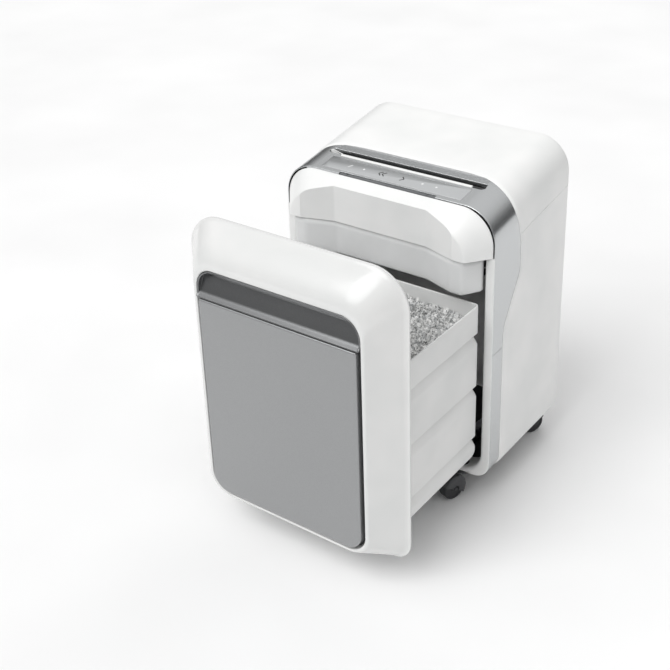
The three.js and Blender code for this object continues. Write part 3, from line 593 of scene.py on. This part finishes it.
def head_normal(x):
    past = max(0.0, abs(x) - (CABINET_HALF - SHOULDER_RADIUS))
    tilt = math.asin(past / (SHOULDER_RADIUS - TRIM_INSET))
    nx, nz = math.copysign(math.sin(tilt), x), math.cos(tilt)
    normal = np.array([nx, -LEAN * nz, nz])
    return normal / np.linalg.norm(normal)


def sink(name, plan, depth, lip):
    """A cutting tool that sinks a plan outline into the head, leaving a rounded lip round it."""
    levels = [(-2.0, lip), (0.0, lip)]
    levels += [(lip * (1 - math.cos(t)), lip * (1 - math.sin(t))) for t in np.linspace(0.3, math.pi / 2, 4)]
    levels.append((depth, 0.0))
    rings = []
    for down, out in levels:
        loop = spread_out(plan, out)
        rings.append([(x, y, head_height(x, y) - down) for x, y in loop])
    return shell(name, *loft(rings[::-1]))


SLOT_PLAN = [(-135.5, 52), (-127.5, 47.2), (-109.5, 49), (115.5, 49), (115.5, 45), (129.5, 45), (133.5, 49.5),
             (131.5, 60.4), (-129.5, 60.4)]


def smooth_head(thing):
    """After the cuts, faces that lie on the head's skin take the skin's own exact normals."""
    mesh = thing.data
    normals = [tuple(n.vector) for n in mesh.corner_normals]
    hub = CABINET_TOP - SHOULDER_RADIUS
    for face in mesh.polygons:
        centre = face.center / MM
        y = centre.y - MOUTH_Y / MM
        if centre.z - LEAN * y < hub + 2 or not 3.2 < y < 61:
            continue
        if abs(centre.z - head_height(centre.x, y)) > 0.12:
            continue
        if face.normal.dot(head_normal(centre.x)) < 0.97:
            continue
        for corner in face.loop_indices:
            place = mesh.vertices[mesh.loops[corner].vertex_index].co
            normals[corner] = tuple(head_normal(place.x / MM))
    mesh.normals_split_custom_set(normals)


def silver_trim():
    def wall_at(x):
        return 1.5 + 4.2 * eased((141 - abs(x)) / 3)

    band = trim_skin("silver_head_band", over_path(TRIM_SEAM_Z, 30), wall_at)
    slot = softened(SLOT_PLAN, 1.6)
    lip = softened([(-109.6, 44.1), (115.1, 44.1), (115.1, 49.4), (-109.6, 49.4)], 1.0)
    keys = rounded(-118.2, 118.2, 9.8, 40.2, 1.6, 1.6, 5, 24)
    glow = softened([(-81.6, 0.2), (81.6, 0.2), (81.6, 6.8), (-81.6, 6.8)], 2.2)
    ramp = rounded(-127, 129, 61.2, 75.2, 1.5, 1.5, 5, 30)
    tools = [sink("cut_slot", slot, 12, 0.8), sink("cut_lip", lip, 2.4, 0.2), sink("cut_ramp", ramp, 1.0, 0.3),
             sink("cut_keys", keys, 0.8, 0.12), sink("cut_glow", glow, 4.2, 0.5)]
    cut(band, tools, 40)
    smooth_head(band)
    dress(band, SILVER_PAINT, "cabinet", ["trim_band"])
    for side, sign in (("left", -1), ("right", 1)):
        strip = trim_skin(f"silver_strip_{side}", under_path(sign, TRIM_SEAM_Z - 0.6, 12), lambda x: 1.5)
        dress(strip, SILVER_PAINT, "cabinet", [f"trim_strip_{side}"])


def laid_plate(name, plan, top, thick, edge, grid=True):
    """A thin plate that follows the head's surface: top is its height over the skin."""
    levels = [(top - thick, 0.0), (top - edge, 0.0), (top - edge * 0.3, -edge * 0.3), (top, -edge)]
    rings = []
    for up, out in levels:
        rings.append([(x, y, head_height(x, y) + up) for x, y in spread_out(plan, out)])
    return shell(name, *loft(rings), sharp=50)


def head_details():
    keys = laid_plate("touch_key_film", rounded(-118, 118, 10, 40, 1.5, 1.5, 5, 24), -0.02, 0.7, 0.15)
    dress(keys, KEY_FILM, "cabinet", ["touch_overlay"])

    key_marks()

    glow = laid_plate("status_light_bar", rounded(-81, 81, 1.9, 6.4, 1.6, 1.6, 5, 20), -0.9, 2.6, 0.5)
    dress(glow, LIGHT_BAR, "cabinet", ["light_bar"])
    ends = []
    for x in (-68, 68):
        ends.append(loft([[(x + dx, y, head_height(x, y) + up) for dx, y in
                           ((-0.7, 2.2), (0.7, 2.2), (0.7, 6.2), (-0.7, 6.2))] for up in (-1.4, -0.75)]))
    marks = shell("status_light_dividers", *joined(ends), sharp=50)
    dress(marks, BLACK_ABS, "cabinet")

    lip_plan = rounded(-109.3, 114.8, 44.35, 48.9, 1.0, 1.0, 5, 20)
    lip = laid_plate("paper_slot_lip", lip_plan, 0.95, 3.0, 0.8)
    dress(lip, GLOSS_WHITE, "cabinet", ["slot_lip"])
    wedge_plan = softened([(-113.5, 49.3), (-108.3, 46.5), (-108.3, 50.4), (-131.6, 57.2), (-134.2, 54.6)], 0.8)
    wedge = laid_plate("paper_slot_edge_guide", wedge_plan, 0.35, 4.5, 0.6)
    dress(wedge, GLOSS_WHITE, "cabinet")


def stroke(x0, y0, x1, y1, width=1.0):
    """A thin printed bar on the keys' film, from one place in plan to another."""
    along = np.array([x1 - x0, y1 - y0], float)
    aside = np.array([-along[1], along[0]]) / np.linalg.norm(along) * width / 2
    plan = [np.array([x0, y0]) + aside, np.array([x0, y0]) - aside, np.array([x1, y1]) - aside,
            np.array([x1, y1]) + aside]
    return loft([[(x, y, head_height(x, y) + up) for x, y in plan] for up in (-0.3, 0.05)])


def key_marks():
    """Generic key symbols: arrows back and forward in grey, a stroke and dots that are lit."""
    dark, lit = [], []
    for tip, way in ((-27, 1), (-21, 1), (16, -1)):
        for side in (-1, 1):
            dark.append(stroke(tip, 25, tip + 5 * way, 25 + 5 * side, 1.5))
    lit.append(stroke(-79, 21.5, -75, 28.5, 1.5))
    for x in (-53, 47, 70):
        turns = np.radians(np.arange(0, 360, 30))
        plan = [(x + 1.7 * math.cos(a), 25 + 1.7 * math.sin(a)) for a in turns]
        lit.append(loft([[(u, v, head_height(u, v) + up) for u, v in plan] for up in (-0.3, 0.05)]))
    dress(shell("key_arrow_marks", *joined(dark), sharp=50), BLACK_ABS, "cabinet")
    dress(shell("key_light_marks", *joined(lit), sharp=50), GLOSS_WHITE, "cabinet")


def paper_throat():
    """The black throat under the slot, and the ribbed silver slope behind its mouth."""
    x1 = 119.5
    top = CABINET_TOP - 7.8
    walls = []
    for y0, y1, chamfer in ((43, 48.9, 0), (56.6, 60.4, 3.2)):
        walls.append(loft([[(x, y, z) for x, y in ((-x1 - 9, y0 + back), (x1 + 9, y0 + back), (x1 + 9, y1),
                                                   (-x1 - 9, y1))]
                           for z, back in ((433, 0), (top - 5 + LEAN * y0, 0), (top + LEAN * y0, chamfer))]))
    for x0 in (-x1 - 11, x1):
        walls.append(loft([[(x, y, z) for x, y in ((x0, 48.9), (x0 + 11, 48.9), (x0 + 11, 56.6), (x0, 56.6))]
                           for z in (433, top + LEAN * 49)]))
    throat = shell("paper_throat_liner", *joined(walls), sharp=30)
    dress(throat, BLACK_ABS, "cabinet", ["slot_throat"])

    section = [(75.0, -0.9), (75.0, -0.05)]
    for k in range(5):
        y = 73.6 - 2.45 * k
        section += [(y, -0.05), (y - 0.5, -0.12), (y - 0.8, -0.75), (y - 1.6, -0.8), (y - 2.0, -0.12)]
    section += [(61.4, -0.1), (61.4, -0.9)]
    reach = np.linspace(-126.6, 128.6, 50)
    rings = [[(x, y, head_height(x, y) + up) for x in reach] for y, up in section]
    ramp = shell("paper_guide_ramp", *loft(rings, ring_closed=False, stack_closed=True), sharp=30)
    dress(ramp, SILVER_PAINT, "cabinet")


def rear_cover():
    loops = []
    lip = 1.4  # the plate stands that far inside the skin's outline
    top = CABINET_TOP + LEAN * 218 - lip
    for y, inset in ((216.4, 0), (218.2, 0), (218.9, 0.25), (219.5, 0.85), (219.9, 1.7), (220, 2.6)):
        loops.append(upright(rounded(
            lip + inset - CABINET_HALF, CABINET_HALF - lip - inset, CABINET_BASE + lip + inset, top - inset,
            FOOT_RADIUS - lip - inset, SHOULDER_RADIUS - lip - inset, 22, 10), y))
    plate = shell("rear_cover_plate", *loft(loops), sharp=40)
    tools = []
    for k in range(7):
        z = 396.75 + 9 * k
        slot = rounded(-60, 60, z - 1.75, z + 1.75, 1.7, 1.7, 5, 12)
        tools.append(shell("cut", *loft([upright(slot, 214), upright(slot, 222)])))
    switch = rounded(-119.4, -100.6, 315.6, 344.4, 1.5, 1.5, 4, 4)
    tools.append(shell("cut", *loft([upright(switch, 214), upright(switch, 222)])))
    inlet = rounded(-116.4, -103.6, 283.6, 296.4, 6.35, 6.35, 8, 2)
    tools.append(shell("cut", *loft([upright(inlet, 214), upright(inlet, 222)])))
    cut(plate, tools)
    dress(plate, GLOSS_WHITE, "cabinet", ["rear_cover"])


# ------------------------------------------------------------------ mouth of the cabinet
def frame_path(half, bottom, radius, high, arc=14, steps=14):
    """A U-shaped path from the top of the left leg, round the foot, to the top of the right leg."""
    left = [(-half, z) for z in np.linspace(high, bottom + radius, steps, endpoint=False)]
    foot = []
    for turn in np.radians(np.linspace(180, 270, arc)):
        foot.append((-half + radius + radius * math.cos(turn), bottom + radius + radius * math.sin(turn)))
    half_path = left + foot
    return half_path + [(-x, z) for x, z in reversed(half_path)]


def mouth_frame():
    stations = []
    for y, inset in ((32, 0), (1.4, 0), (1.4, -1.9), (0.9, -2.0), (0.35, -1.5), (0.05, -0.6), (0.0, 0.6)):
        stations.append(("outer", y, inset))
    for y, inset in ((0.0, 4.2), (0.4, 2.5), (1.3, 0.7), (3.0, -0.8), (5.0, -1.4), (8.0, -1.5), (32, -1.5)):
        stations.append(("inner", y, inset))
    rings = []
    for edge, y, inset in stations:
        if edge == "outer":
            path = frame_path(176.5 - inset, 48.5 + inset, 26.5 - inset, 416)
        else:
            path = frame_path(164.5 + inset, 51 - inset, 36 + inset, 416)
        rings.append([(x, y, z) for x, z in path])
    ring = shell("mouth_frame_ring", *loft(rings, ring_closed=False, stack_closed=True), sharp=30)
    dress(ring, MATT_WHITE, "cabinet", ["front_frame"])


def pillow(t, inset, arc=16, straight=10):
    """Outline of the drawer front's cushion shape at depth share t, drawn in by inset."""
    half = 179 - 39.5 * t - inset
    crown = 0.5 * t + 0.5 * (1 - math.sqrt(max(0.0, 1 - t * t)))
    top = CABINET_TOP - 53 * crown - inset
    bottom = CABINET_BASE + 17.5 * t + inset
    low, high = 30 + 4 * t - inset, 55 - 19 * t - inset
    return rounded(-half, half, bottom, top, max(low, 2), max(high, 2), arc, straight)


def fascia():
    """The head's front: the same cushion shape, with a recess that clears the finger grip."""
    inset, low_z = 3.4, 416.5
    depths = [(2.0, 0.6), (1.4, 0.0), (0.0, 0.0), (-4, 0), (-9, 0), (-14, 0), (-19, 0), (-23, 0), (-26, 0),
              (-28.4, 0), (-30.2, 0.1), (-31.2, 0.45), (-31.8, 1.1), (-32.0, 2.0)]
    rings = [upright(pillow(max(0.0, (2 - y) / PANEL_DEPTH), inset + edge, 20, 24), y) for y, edge in depths]
    front = shell("fascia_front", *loft(rings), sharp=35)
    below = shell("cut_below", *loft([level(rounded(-200, 200, -60, 60, 5, 5, 2, 2), z) for z in (20, low_z)]))
    plan = softened([(-78.7, -16), (78.7, -16), (130, -32), (150, -60), (-150, -60), (-130, -32)], 3.0, 6)
    recess = shell("cut_recess", *loft([level(plan, z) for z in (400, 520)]))
    cut(front, [below, recess], 24)
    dress(front, GLOSS_WHITE, "cabinet", ["fascia"])


def flip_outward(thing, toward):
    """Turns an open sheet so that its faces look toward a direction."""
    total = sum((face.normal * face.area for face in thing.data.polygons), start=Vector())
    if total.dot(Vector(toward)) < 0:
        thing.data.flip_normals()


def cutter_cover():
    corners = [(-160, 4), (-160, -2), (-143, -28), (-124, -28), (-77, -12.5), (77, -12.5), (124, -28),
               (143, -28), (160, -2), (160, 4)]
    plan = softened(corners, 5.0, 6, closed=False)
    full = []
    for a, b in zip(plan[:-1], plan[1:]):
        steps = max(1, int(np.linalg.norm(b - a) / 6))
        full += [a + (b - a) * i / steps for i in range(steps)]
    full = np.array(full + [plan[-1]])
    rings = []
    for z, inward in ((416, 0), (405, 0), (390, 0), (376, 0), (366.4, 0), (364.0, 0.5), (362.6, 1.8),
                      (362, 3.6)):
        rings.append(level(spread_out(full, -inward, closed=False), z))
    points, faces = loft(rings, ring_closed=False, capped=False)
    size = len(full)
    faces.append(tuple((len(rings) - 1) * size + j for j in range(size)))
    cover = shell("cutter_guard", points, faces, sharp=35)
    flip_outward(cover, (0, -1, -0.2))
    thickened(cover, 2.4)
    dress(cover, PALE_GREY, "cabinet", ["cutter_cover"])


# ------------------------------------------------------------------ drawer front
def window(grow, arc=16, straight=10):
    return rounded(-134.5 - grow, 134.5 + grow, 67.3 - grow, 430 + grow, 30 + grow, 30 + grow, arc, straight)


def drawer_front():
    """The pull-out front: a flared cushion round a window that a proud silver plate stands in."""
    def at(t, inset=0.0, y=None):
        return upright(pillow(t, inset), PANEL_BACK - RIM_DEPTH * t if y is None else y)

    face = PANEL_BACK - RIM_DEPTH
    rings = [at(0, 2.6), at(0, 1.5), at(0, 0.5, PANEL_BACK - 0.15), at(0, 0.12, PANEL_BACK - 0.5),
             at(0, 0, PANEL_BACK - 1.1), at(0, 0, PANEL_BACK - 2.6), at(0.004, 0.0, PANEL_BACK - 3.2)]
    for t in (0.1, 0.18, 0.26, 0.34, 0.42, 0.5, 0.58, 0.66, 0.74, 0.81, 0.87, 0.92, 0.955):
        rings.append(at(t))
    rings += [at(0.975, 0.10), at(0.988, 0.42), at(0.996, 1.0), at(1.0, 1.9), at(1.0, 2.6)]
    rings += [upright(window(grow), y) for grow, y in
              ((1.5, face), (1.0, face + 0.08), (0.6, face + 0.35), (0.4, face + 0.8), (0.4, face + 12))]
    rings += [upright(pillow(0.93, 2.8), face + 12), at(0.7, 2.7), at(0.4, 2.6), at(0.2, 2.6)]
    panel = shell("drawer_front_panel", *loft(rings, stack_closed=True), sharp=40)
    dress(panel, PANEL_WHITE, "drawer", ["drawer_front"])

    def plate_loop(inset):
        return rounded(-130 + inset, 130 - inset, 71.8 + inset, 384.7 - inset, 25.5 - inset,
                       max(0.4, 2.4 - inset), 16, 10)

    plate_front = PANEL_BACK - PANEL_DEPTH
    plate_rings = [upright(plate_loop(inset), plate_front + back) for inset, back in
                   ((0.0, 12), (0.0, 6), (0.0, 2.2), (0.15, 1.5), (0.5, 0.85), (1.1, 0.35), (1.9, 0.08), (3.0, 0.0))]
    plate = shell("drawer_satin_plate", *loft(plate_rings), sharp=40)
    dress(plate, SATIN_SILVER, "drawer", ["drawer_inset"])
    backing_rings = [upright(rounded(-134, 134, 67.8, 386, 29.5, 1.0, 16, 10), y) for y in
                     (plate_front + 15.4, plate_front + 12.6)]
    backing = shell("drawer_plate_backing", *loft(backing_rings), sharp=40)
    dress(backing, BLACK_ABS, "drawer")


def finger_grip():
    """The scooped grip over the plate: a proud lip below, a long ramp, and a dark cleft under the rim."""
    face = PANEL_BACK - RIM_DEPTH

    def mouth_loop(inset):
        return rounded(-134.0 + inset, 134.0 - inset, 386.2 + inset, 429.5 - inset, max(0.5, 2.4 - inset),
                       29.5 - inset, 16, 14)

    def lipped(loop, y, share=1.0):
        lift = [3.6 * share * eased((393 - z) / 5.5) for x, z in loop]
        return np.column_stack([loop[:, 0], y - np.array(lift), loop[:, 1]])

    cleft = rounded(-130.5, 130.5, 417.5, 428.4, 3, 10.5, 16, 14)
    rings = [upright(mouth_loop(0.0), face + 13.4), lipped(mouth_loop(0.0), face + 1.4),
             lipped(mouth_loop(0.3), face + 0.9), lipped(mouth_loop(0.9), face + 0.6),
             lipped(mouth_loop(1.6), face + 0.7)]
    start = mouth_loop(2.2)
    for share in np.linspace(0, 1, 14):
        loop = start + (cleft - start) * share
        rings.append(lipped(loop, face + 1.1 + 11.2 * share ** 0.9, 1 - share))
    centre = cleft.mean(axis=0)
    for share, y in ((0.03, 12.5), (0.10, 12.6), (0.3, 12.6), (0.6, 12.6)):
        rings.append(upright(cleft + (centre - cleft) * share, face + y))
    grip = shell("finger_grip_scoop", *loft(rings), sharp=50)
    dress(grip, GRIP_METALLIC, "drawer", ["grip_tray"])


# ------------------------------------------------------------------ bin and paper
GROOVES = (298, 211, 124)


def groove_in(z):
    """How far the bin's wall is drawn in at height z: three grooves and a rounded foot."""
    for middle in GROOVES:
        if middle <= z <= middle + 3.6:
            return 5.5 * eased((middle + 3.6 - z) / 3.6)
        if middle - 16 <= z < middle:
            return 5.5 * ((z - middle + 16) / 16) ** 1.25
    if z < 103:
        return 26 - math.sqrt(max(0.0, 26 ** 2 - (103 - z) ** 2))
    return 0.0


def bin_loop(z, wall):
    back, half = -6 - groove_in(z) - wall, 161 - groove_in(z) - wall
    return level(rounded(-half, half, -212 + wall, back, 2.5, max(2.5, 7 - wall), 10, 14), z)


def bin_shell():
    heights = {342.0, 335.0, 325.0, 315.0, 255.0, 240.0, 168.0, 155.0, 108.0}
    for middle in GROOVES:
        heights |= {middle + dz for dz in (5.0, 3.6, 3.0, 2.4, 1.8, 1.2, 0.6, 0.0,
                                           -1.0, -3, -6, -9, -12, -14.5, -16, -17)}
    heights |= {77 + 26 * (1 - math.cos(a)) for a in np.linspace(0.12, 1.5, 9)}
    heights = sorted(heights, reverse=True)
    rings = [bin_loop(345, 1.3), bin_loop(344.9, 0.7), bin_loop(344.5, 0.22), bin_loop(343.8, 0.0)]
    rings += [bin_loop(z, 0) for z in heights]
    rings += [bin_loop(77, 0) * [0.9, 1, 1]]
    outer = loft(rings)
    inner_heights = [z for z in heights if z > 82]
    rings = [bin_loop(345, 1.3), bin_loop(344.9, 1.9), bin_loop(344.5, 2.4), bin_loop(343.8, 2.6)]
    rings += [bin_loop(z, 2.6) for z in inner_heights]
    inner = loft(rings)
    points, faces = joined([(outer[0], outer[1][:-2] + outer[1][-1:]),
                            (inner[0], inner[1][:-2] + inner[1][-1:])])
    tub = shell("bin_tub", points, faces, sharp=40)
    dress(tub, MATT_WHITE, "drawer", ["bin"])


def heap_height(x, y):
    """Top of the loose heap: swollen in the middle, lumpy, sunk toward the walls."""
    swell = 326 - 9 * (x / 156) ** 2 - 5 * ((y + 109) / 100) ** 4
    lumps = 2.2 * math.sin(x / 17.0 + 1.3) * math.cos(y / 13.0) + 1.4 * math.sin(x / 7.3 - y / 9.1)
    return swell + lumps


def heap():
    """Body of the heap; its scraps are scattered over it afterwards."""
    xs, ys = np.linspace(-157.6, 157.6, 90), np.linspace(-208.6, -9.4, 60)
    top = [[(x, y, heap_height(x, y)) for x in xs] for y in ys]
    points, faces = loft(top, ring_closed=False, capped=False)
    size, rows = len(xs), len(ys)
    border = [j for j in range(size)] + [i * size + size - 1 for i in range(1, rows)]
    border += [(rows - 1) * size + j for j in range(size - 2, -1, -1)]
    border += [i * size for i in range(rows - 2, 0, -1)]
    low = len(points)
    points = np.vstack([points, [(points[k][0], points[k][1], 306) for k in border]])
    for k, here in enumerate(border):
        after = (k + 1) % len(border)
        faces.append((here, low + k, low + after, border[after]))
    faces.append(tuple(low + k for k in range(len(border)))[::-1])
    return shell("paper_heap_body", points, faces, sharp=60)


def scrap_tree():
    """Geometry nodes: scatters curled scraps over the heap, each with its own turn and tone."""
    tree = bpy.data.node_groups.new("scattered_scraps", "GeometryNodeTree")
    tree.interface.new_socket("Geometry", in_out="INPUT", socket_type="NodeSocketGeometry")
    for name, kind in (("Scrap length", "NodeSocketFloat"), ("Scrap width", "NodeSocketFloat"),
                       ("Scraps per square metre", "NodeSocketFloat"), ("Seed", "NodeSocketInt"),
                       ("Paper", "NodeSocketMaterial")):
        tree.interface.new_socket(name, in_out="INPUT", socket_type=kind)
    tree.interface.new_socket("Geometry", in_out="OUTPUT", socket_type="NodeSocketGeometry")
    given = add(tree, "NodeGroupInput").outputs
    strip = add(tree, "GeometryNodeMeshGrid", {"Size X": given["Scrap length"], "Size Y": given["Scrap width"],
                                               "Vertices X": 4, "Vertices Y": 2})
    place = add(tree, "ShaderNodeSeparateXYZ", {0: add(tree, "GeometryNodeInputPosition").outputs[0]})
    curl = add(tree, "ShaderNodeMath", {0: place.outputs[0], 1: place.outputs[0]}, operation="MULTIPLY")
    lift = add(tree, "ShaderNodeMath", {0: curl.outputs[0], 1: 90.0}, operation="MULTIPLY")
    bend = add(tree, "ShaderNodeCombineXYZ", {2: lift.outputs[0]})
    curled = add(tree, "GeometryNodeSetPosition",
                 {"Geometry": strip.outputs["Mesh"], "Offset": bend.outputs[0]})
    heap_only = add(tree, "GeometryNodeInputNormal")
    upward = add(tree, "ShaderNodeSeparateXYZ", {0: heap_only.outputs[0]})
    on_top = add(tree, "FunctionNodeCompare", {0: upward.outputs[2], 1: 0.5}, data_type="FLOAT",
                 operation="GREATER_THAN")
    points = add(tree, "GeometryNodeDistributePointsOnFaces",
                 {"Mesh": given["Geometry"], "Selection": on_top.outputs[0],
                  "Density": given["Scraps per square metre"], "Seed": given["Seed"]})
    turn = add(tree, "FunctionNodeRandomValue", {0: (-0.9, -0.9, 0.0), 1: (0.9, 0.9, 6.283),
                                                 "Seed": given["Seed"]}, data_type="FLOAT_VECTOR")
    size = add(tree, "FunctionNodeRandomValue", {2: 0.55, 3: 1.25, "Seed": 7}, data_type="FLOAT")
    laid = add(tree, "GeometryNodeInstanceOnPoints",
               {"Points": points.outputs["Points"], "Instance": curled.outputs[0], "Rotation": turn.outputs[0],
                "Scale": size.outputs[1]})
    tone = add(tree, "FunctionNodeRandomValue", {2: 0.0, 3: 1.0, "Seed": 19}, data_type="FLOAT")
    toned = add(tree, "GeometryNodeStoreNamedAttribute",
                {"Geometry": laid.outputs[0], "Name": "tone", "Value": tone.outputs[1]},
                data_type="FLOAT", domain="INSTANCE")
    jitter = add(tree, "FunctionNodeRandomValue", {0: (0.0, 0.0, 0.0), 1: (0.0, 0.0, 0.003), "Seed": 5},
                 data_type="FLOAT_VECTOR")
    raised = add(tree, "GeometryNodeTranslateInstances",
                 {"Instances": toned.outputs[0], "Translation": jitter.outputs[0], "Local Space": False})
    real = add(tree, "GeometryNodeRealizeInstances", {0: raised.outputs[0]})
    painted = add(tree, "GeometryNodeSetMaterial", {"Geometry": real.outputs[0], "Material": given["Paper"]})
    add(tree, "NodeGroupOutput", {0: painted.outputs[0]})
    return tree


def grown(name, base, tree, values):
    """Runs a node tree on a copy of base with named inputs, and keeps the result as a plain mesh."""
    thing = bpy.data.objects.new(name, base.data.copy())
    bpy.context.scene.collection.objects.link(thing)
    modifier = thing.modifiers.new("grow", "NODES")
    modifier.node_group = tree
    sockets = {item.name: item.identifier for item in tree.interface.items_tree if item.in_out == "INPUT"}
    for label, value in values.items():
        modifier[sockets[label]] = value
    thing.update_tag()
    return evaluated(thing)


def paper():
    body = heap()
    scraps = grown("paper_scraps", body, scrap_tree(),
                   {"Scrap length": 0.011, "Scrap width": 0.0042, "Scraps per square metre": 110000.0,
                    "Seed": 4, "Paper": CONFETTI})
    keep_inside(scraps, 157.8, -209.0, -9.2)
    thicken_scraps(scraps)
    dress(body, CONFETTI, "drawer", ["paper_fill"])
    dress(scraps, CONFETTI, "drawer")


def keep_inside(thing, half, front, back):
    """Scraps that would poke through a wall are slid back against it."""
    for vertex in thing.data.vertices:
        vertex.co.x = max(-half * MM, min(half * MM, vertex.co.x))
        vertex.co.y = max(front * MM + MOUTH_Y, min(back * MM + MOUTH_Y, vertex.co.y))


def thicken_scraps(thing):
    wall = thing.modifiers.new("sheet", "SOLIDIFY")
    wall.thickness = 0.25 * MM
    evaluated(thing)


# ------------------------------------------------------------------ casters
CASTERS = (("front_left", -128, 14, -0.3), ("front_right", 128, 14, -0.3),
           ("rear_left", -128, 190, math.pi - 0.5), ("rear_right", 128, 190, math.pi - 0.5))


def turned(points, x, y, turn):
    points = np.asarray(points, float)
    c, s = math.cos(turn), math.sin(turn)
    spun = points.copy()
    spun[..., 0] = x + points[..., 0] * c - points[..., 1] * s
    spun[..., 1] = y + points[..., 0] * s + points[..., 1] * c
    return spun


def round_bar(profile, sides, centre_y, centre_z):
    """A turned part about the wheel's axle: profile is (distance along x, radius)."""
    rings = []
    for along, radius in profile:
        turns = np.radians(np.arange(sides) * 360 / sides)
        rings.append([(along, centre_y + radius * math.cos(a), centre_z + radius * math.sin(a)) for a in turns])
    return rings


def casters():
    for name, x, y, turn in CASTERS:
        tread = [(-8.3, 15.2), (-8.5, 16.2), (-8.3, 17.4), (-7.4, 18.4), (-6.0, 18.9), (-3, 19), (3, 19),
                 (6.0, 18.9), (7.4, 18.4), (8.3, 17.4), (8.5, 16.2), (8.3, 15.2), (7.2, 14.6), (7.0, 6.6),
                 (7.9, 6.1), (8.1, 5.2), (8.1, 3.4), (-8.1, 3.4), (-8.1, 5.2), (-7.9, 6.1), (-7.0, 6.6),
                 (-7.2, 14.6)]
        rings = turned(round_bar(tread, 48, -24, 19), x, y, turn)
        wheel = shell(f"caster_tyre_{name}", *loft(rings, stack_closed=True), sharp=35)
        dress(wheel, CASTER_TREAD, f"wheel_{name}", [f"caster_wheel_{name}"])

        parts = [loft(turned(hood_rings(), x, y, turn), ring_closed=True, stack_closed=False)]
        stem = [[(r * math.cos(a), r * math.sin(a), z) for a in np.radians(np.arange(0, 360, 15))]
                for z, r in ((39.4, 13.2), (39.9, 13.9), (43.2, 14), (43.9, 13.4), (44, 5.2), (44.2, 5), (59, 5))]
        parts.append(loft(turned(stem, x, y, turn)))
        axle = round_bar([(-11.6, 1.2), (-11.5, 2.6), (-10.9, 3), (10.9, 3), (11.5, 2.6), (11.6, 1.2)],
                         24, -24, 19)
        parts.append(loft(turned(axle, x, y, turn)))
        fork = shell(f"caster_hood_{name}", *joined(parts), sharp=35)
        dress(fork, CASTER_NYLON, f"caster_{name}", [f"caster_fork_{name}"])


def hood_rings():
    """An open-bottomed fender round the wheel: cross sections swept over the wheel's top."""
    rings = []
    for angle, reach in ((-38, 20.6), (-20, 21.2), (0, 21.6), (22, 21.9), (45, 22.2), (70, 22.4), (95, 22.5),
                         (118, 22.4), (138, 22.0), (155, 21.4)):
        a = math.radians(angle)
        away_y, away_z = math.cos(a), math.sin(a)
        section = []
        outer = [(-11, 5.5), (-11, 17.0), (-10.6, 19.2), (-9.2, reach - 0.5), (-6.5, reach), (6.5, reach),
                 (9.2, reach - 0.5), (10.6, 19.2), (11, 17.0), (11, 5.5)]
        inner = [(9.2, 5.5), (9.2, 17.6), (8.6, 19.3), (7, reach - 1.2), (-7, reach - 1.2), (-8.6, 19.3),
                 (-9.2, 17.6), (-9.2, 5.5)]
        for across, distance in outer + inner:
            distance = min(distance, reach)
            section.append((across, -24 + distance * away_y, 19 + distance * away_z))
        rings.append(section)
    return rings


# ------------------------------------------------------------------ carried-over CAD nodes
CARRIED = {
    ZINC_STEEL: ["deck", "cutter_plate_left", "cutter_plate_right", "tie_bar_front", "tie_bar_rear",
                 "rail_outer_left", "rail_outer_right", "rail_mid_left", "rail_mid_right",
                 "rail_inner_left", "rail_inner_right", "bin_magnet"],
    CUTTER_STEEL: ["cutter_shaft_a", "cutter_shaft_b", "sync_gear_a", "sync_gear_b", "bull_gear",
                   "motor_rotor"],
    BLACK_ABS: ["base_tray", "stripper_front", "stripper_rear", "board_tray", "motor_capacitor",
                "bin_sensor", "rocker_frame", "rocker"],
    BLACK_PVC: ["cord_gland"],
    CIRCUIT: ["control_board", "touch_board"],
    NYLON: ["idler_gear"],
    MOTOR_ENAMEL: ["motor_body"],
}


def carried_over():
    for material, names in CARRIED.items():
        for name in names:
            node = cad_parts[name]
            node.data.materials.clear()
            node.data.materials.append(material)


camera()
studio()
floor()
cabinet_skins()
silver_trim()
head_details()
paper_throat()
rear_cover()
mouth_frame()
fascia()
cutter_cover()
drawer_front()
finger_grip()
bin_shell()
paper()
casters()
carried_over()
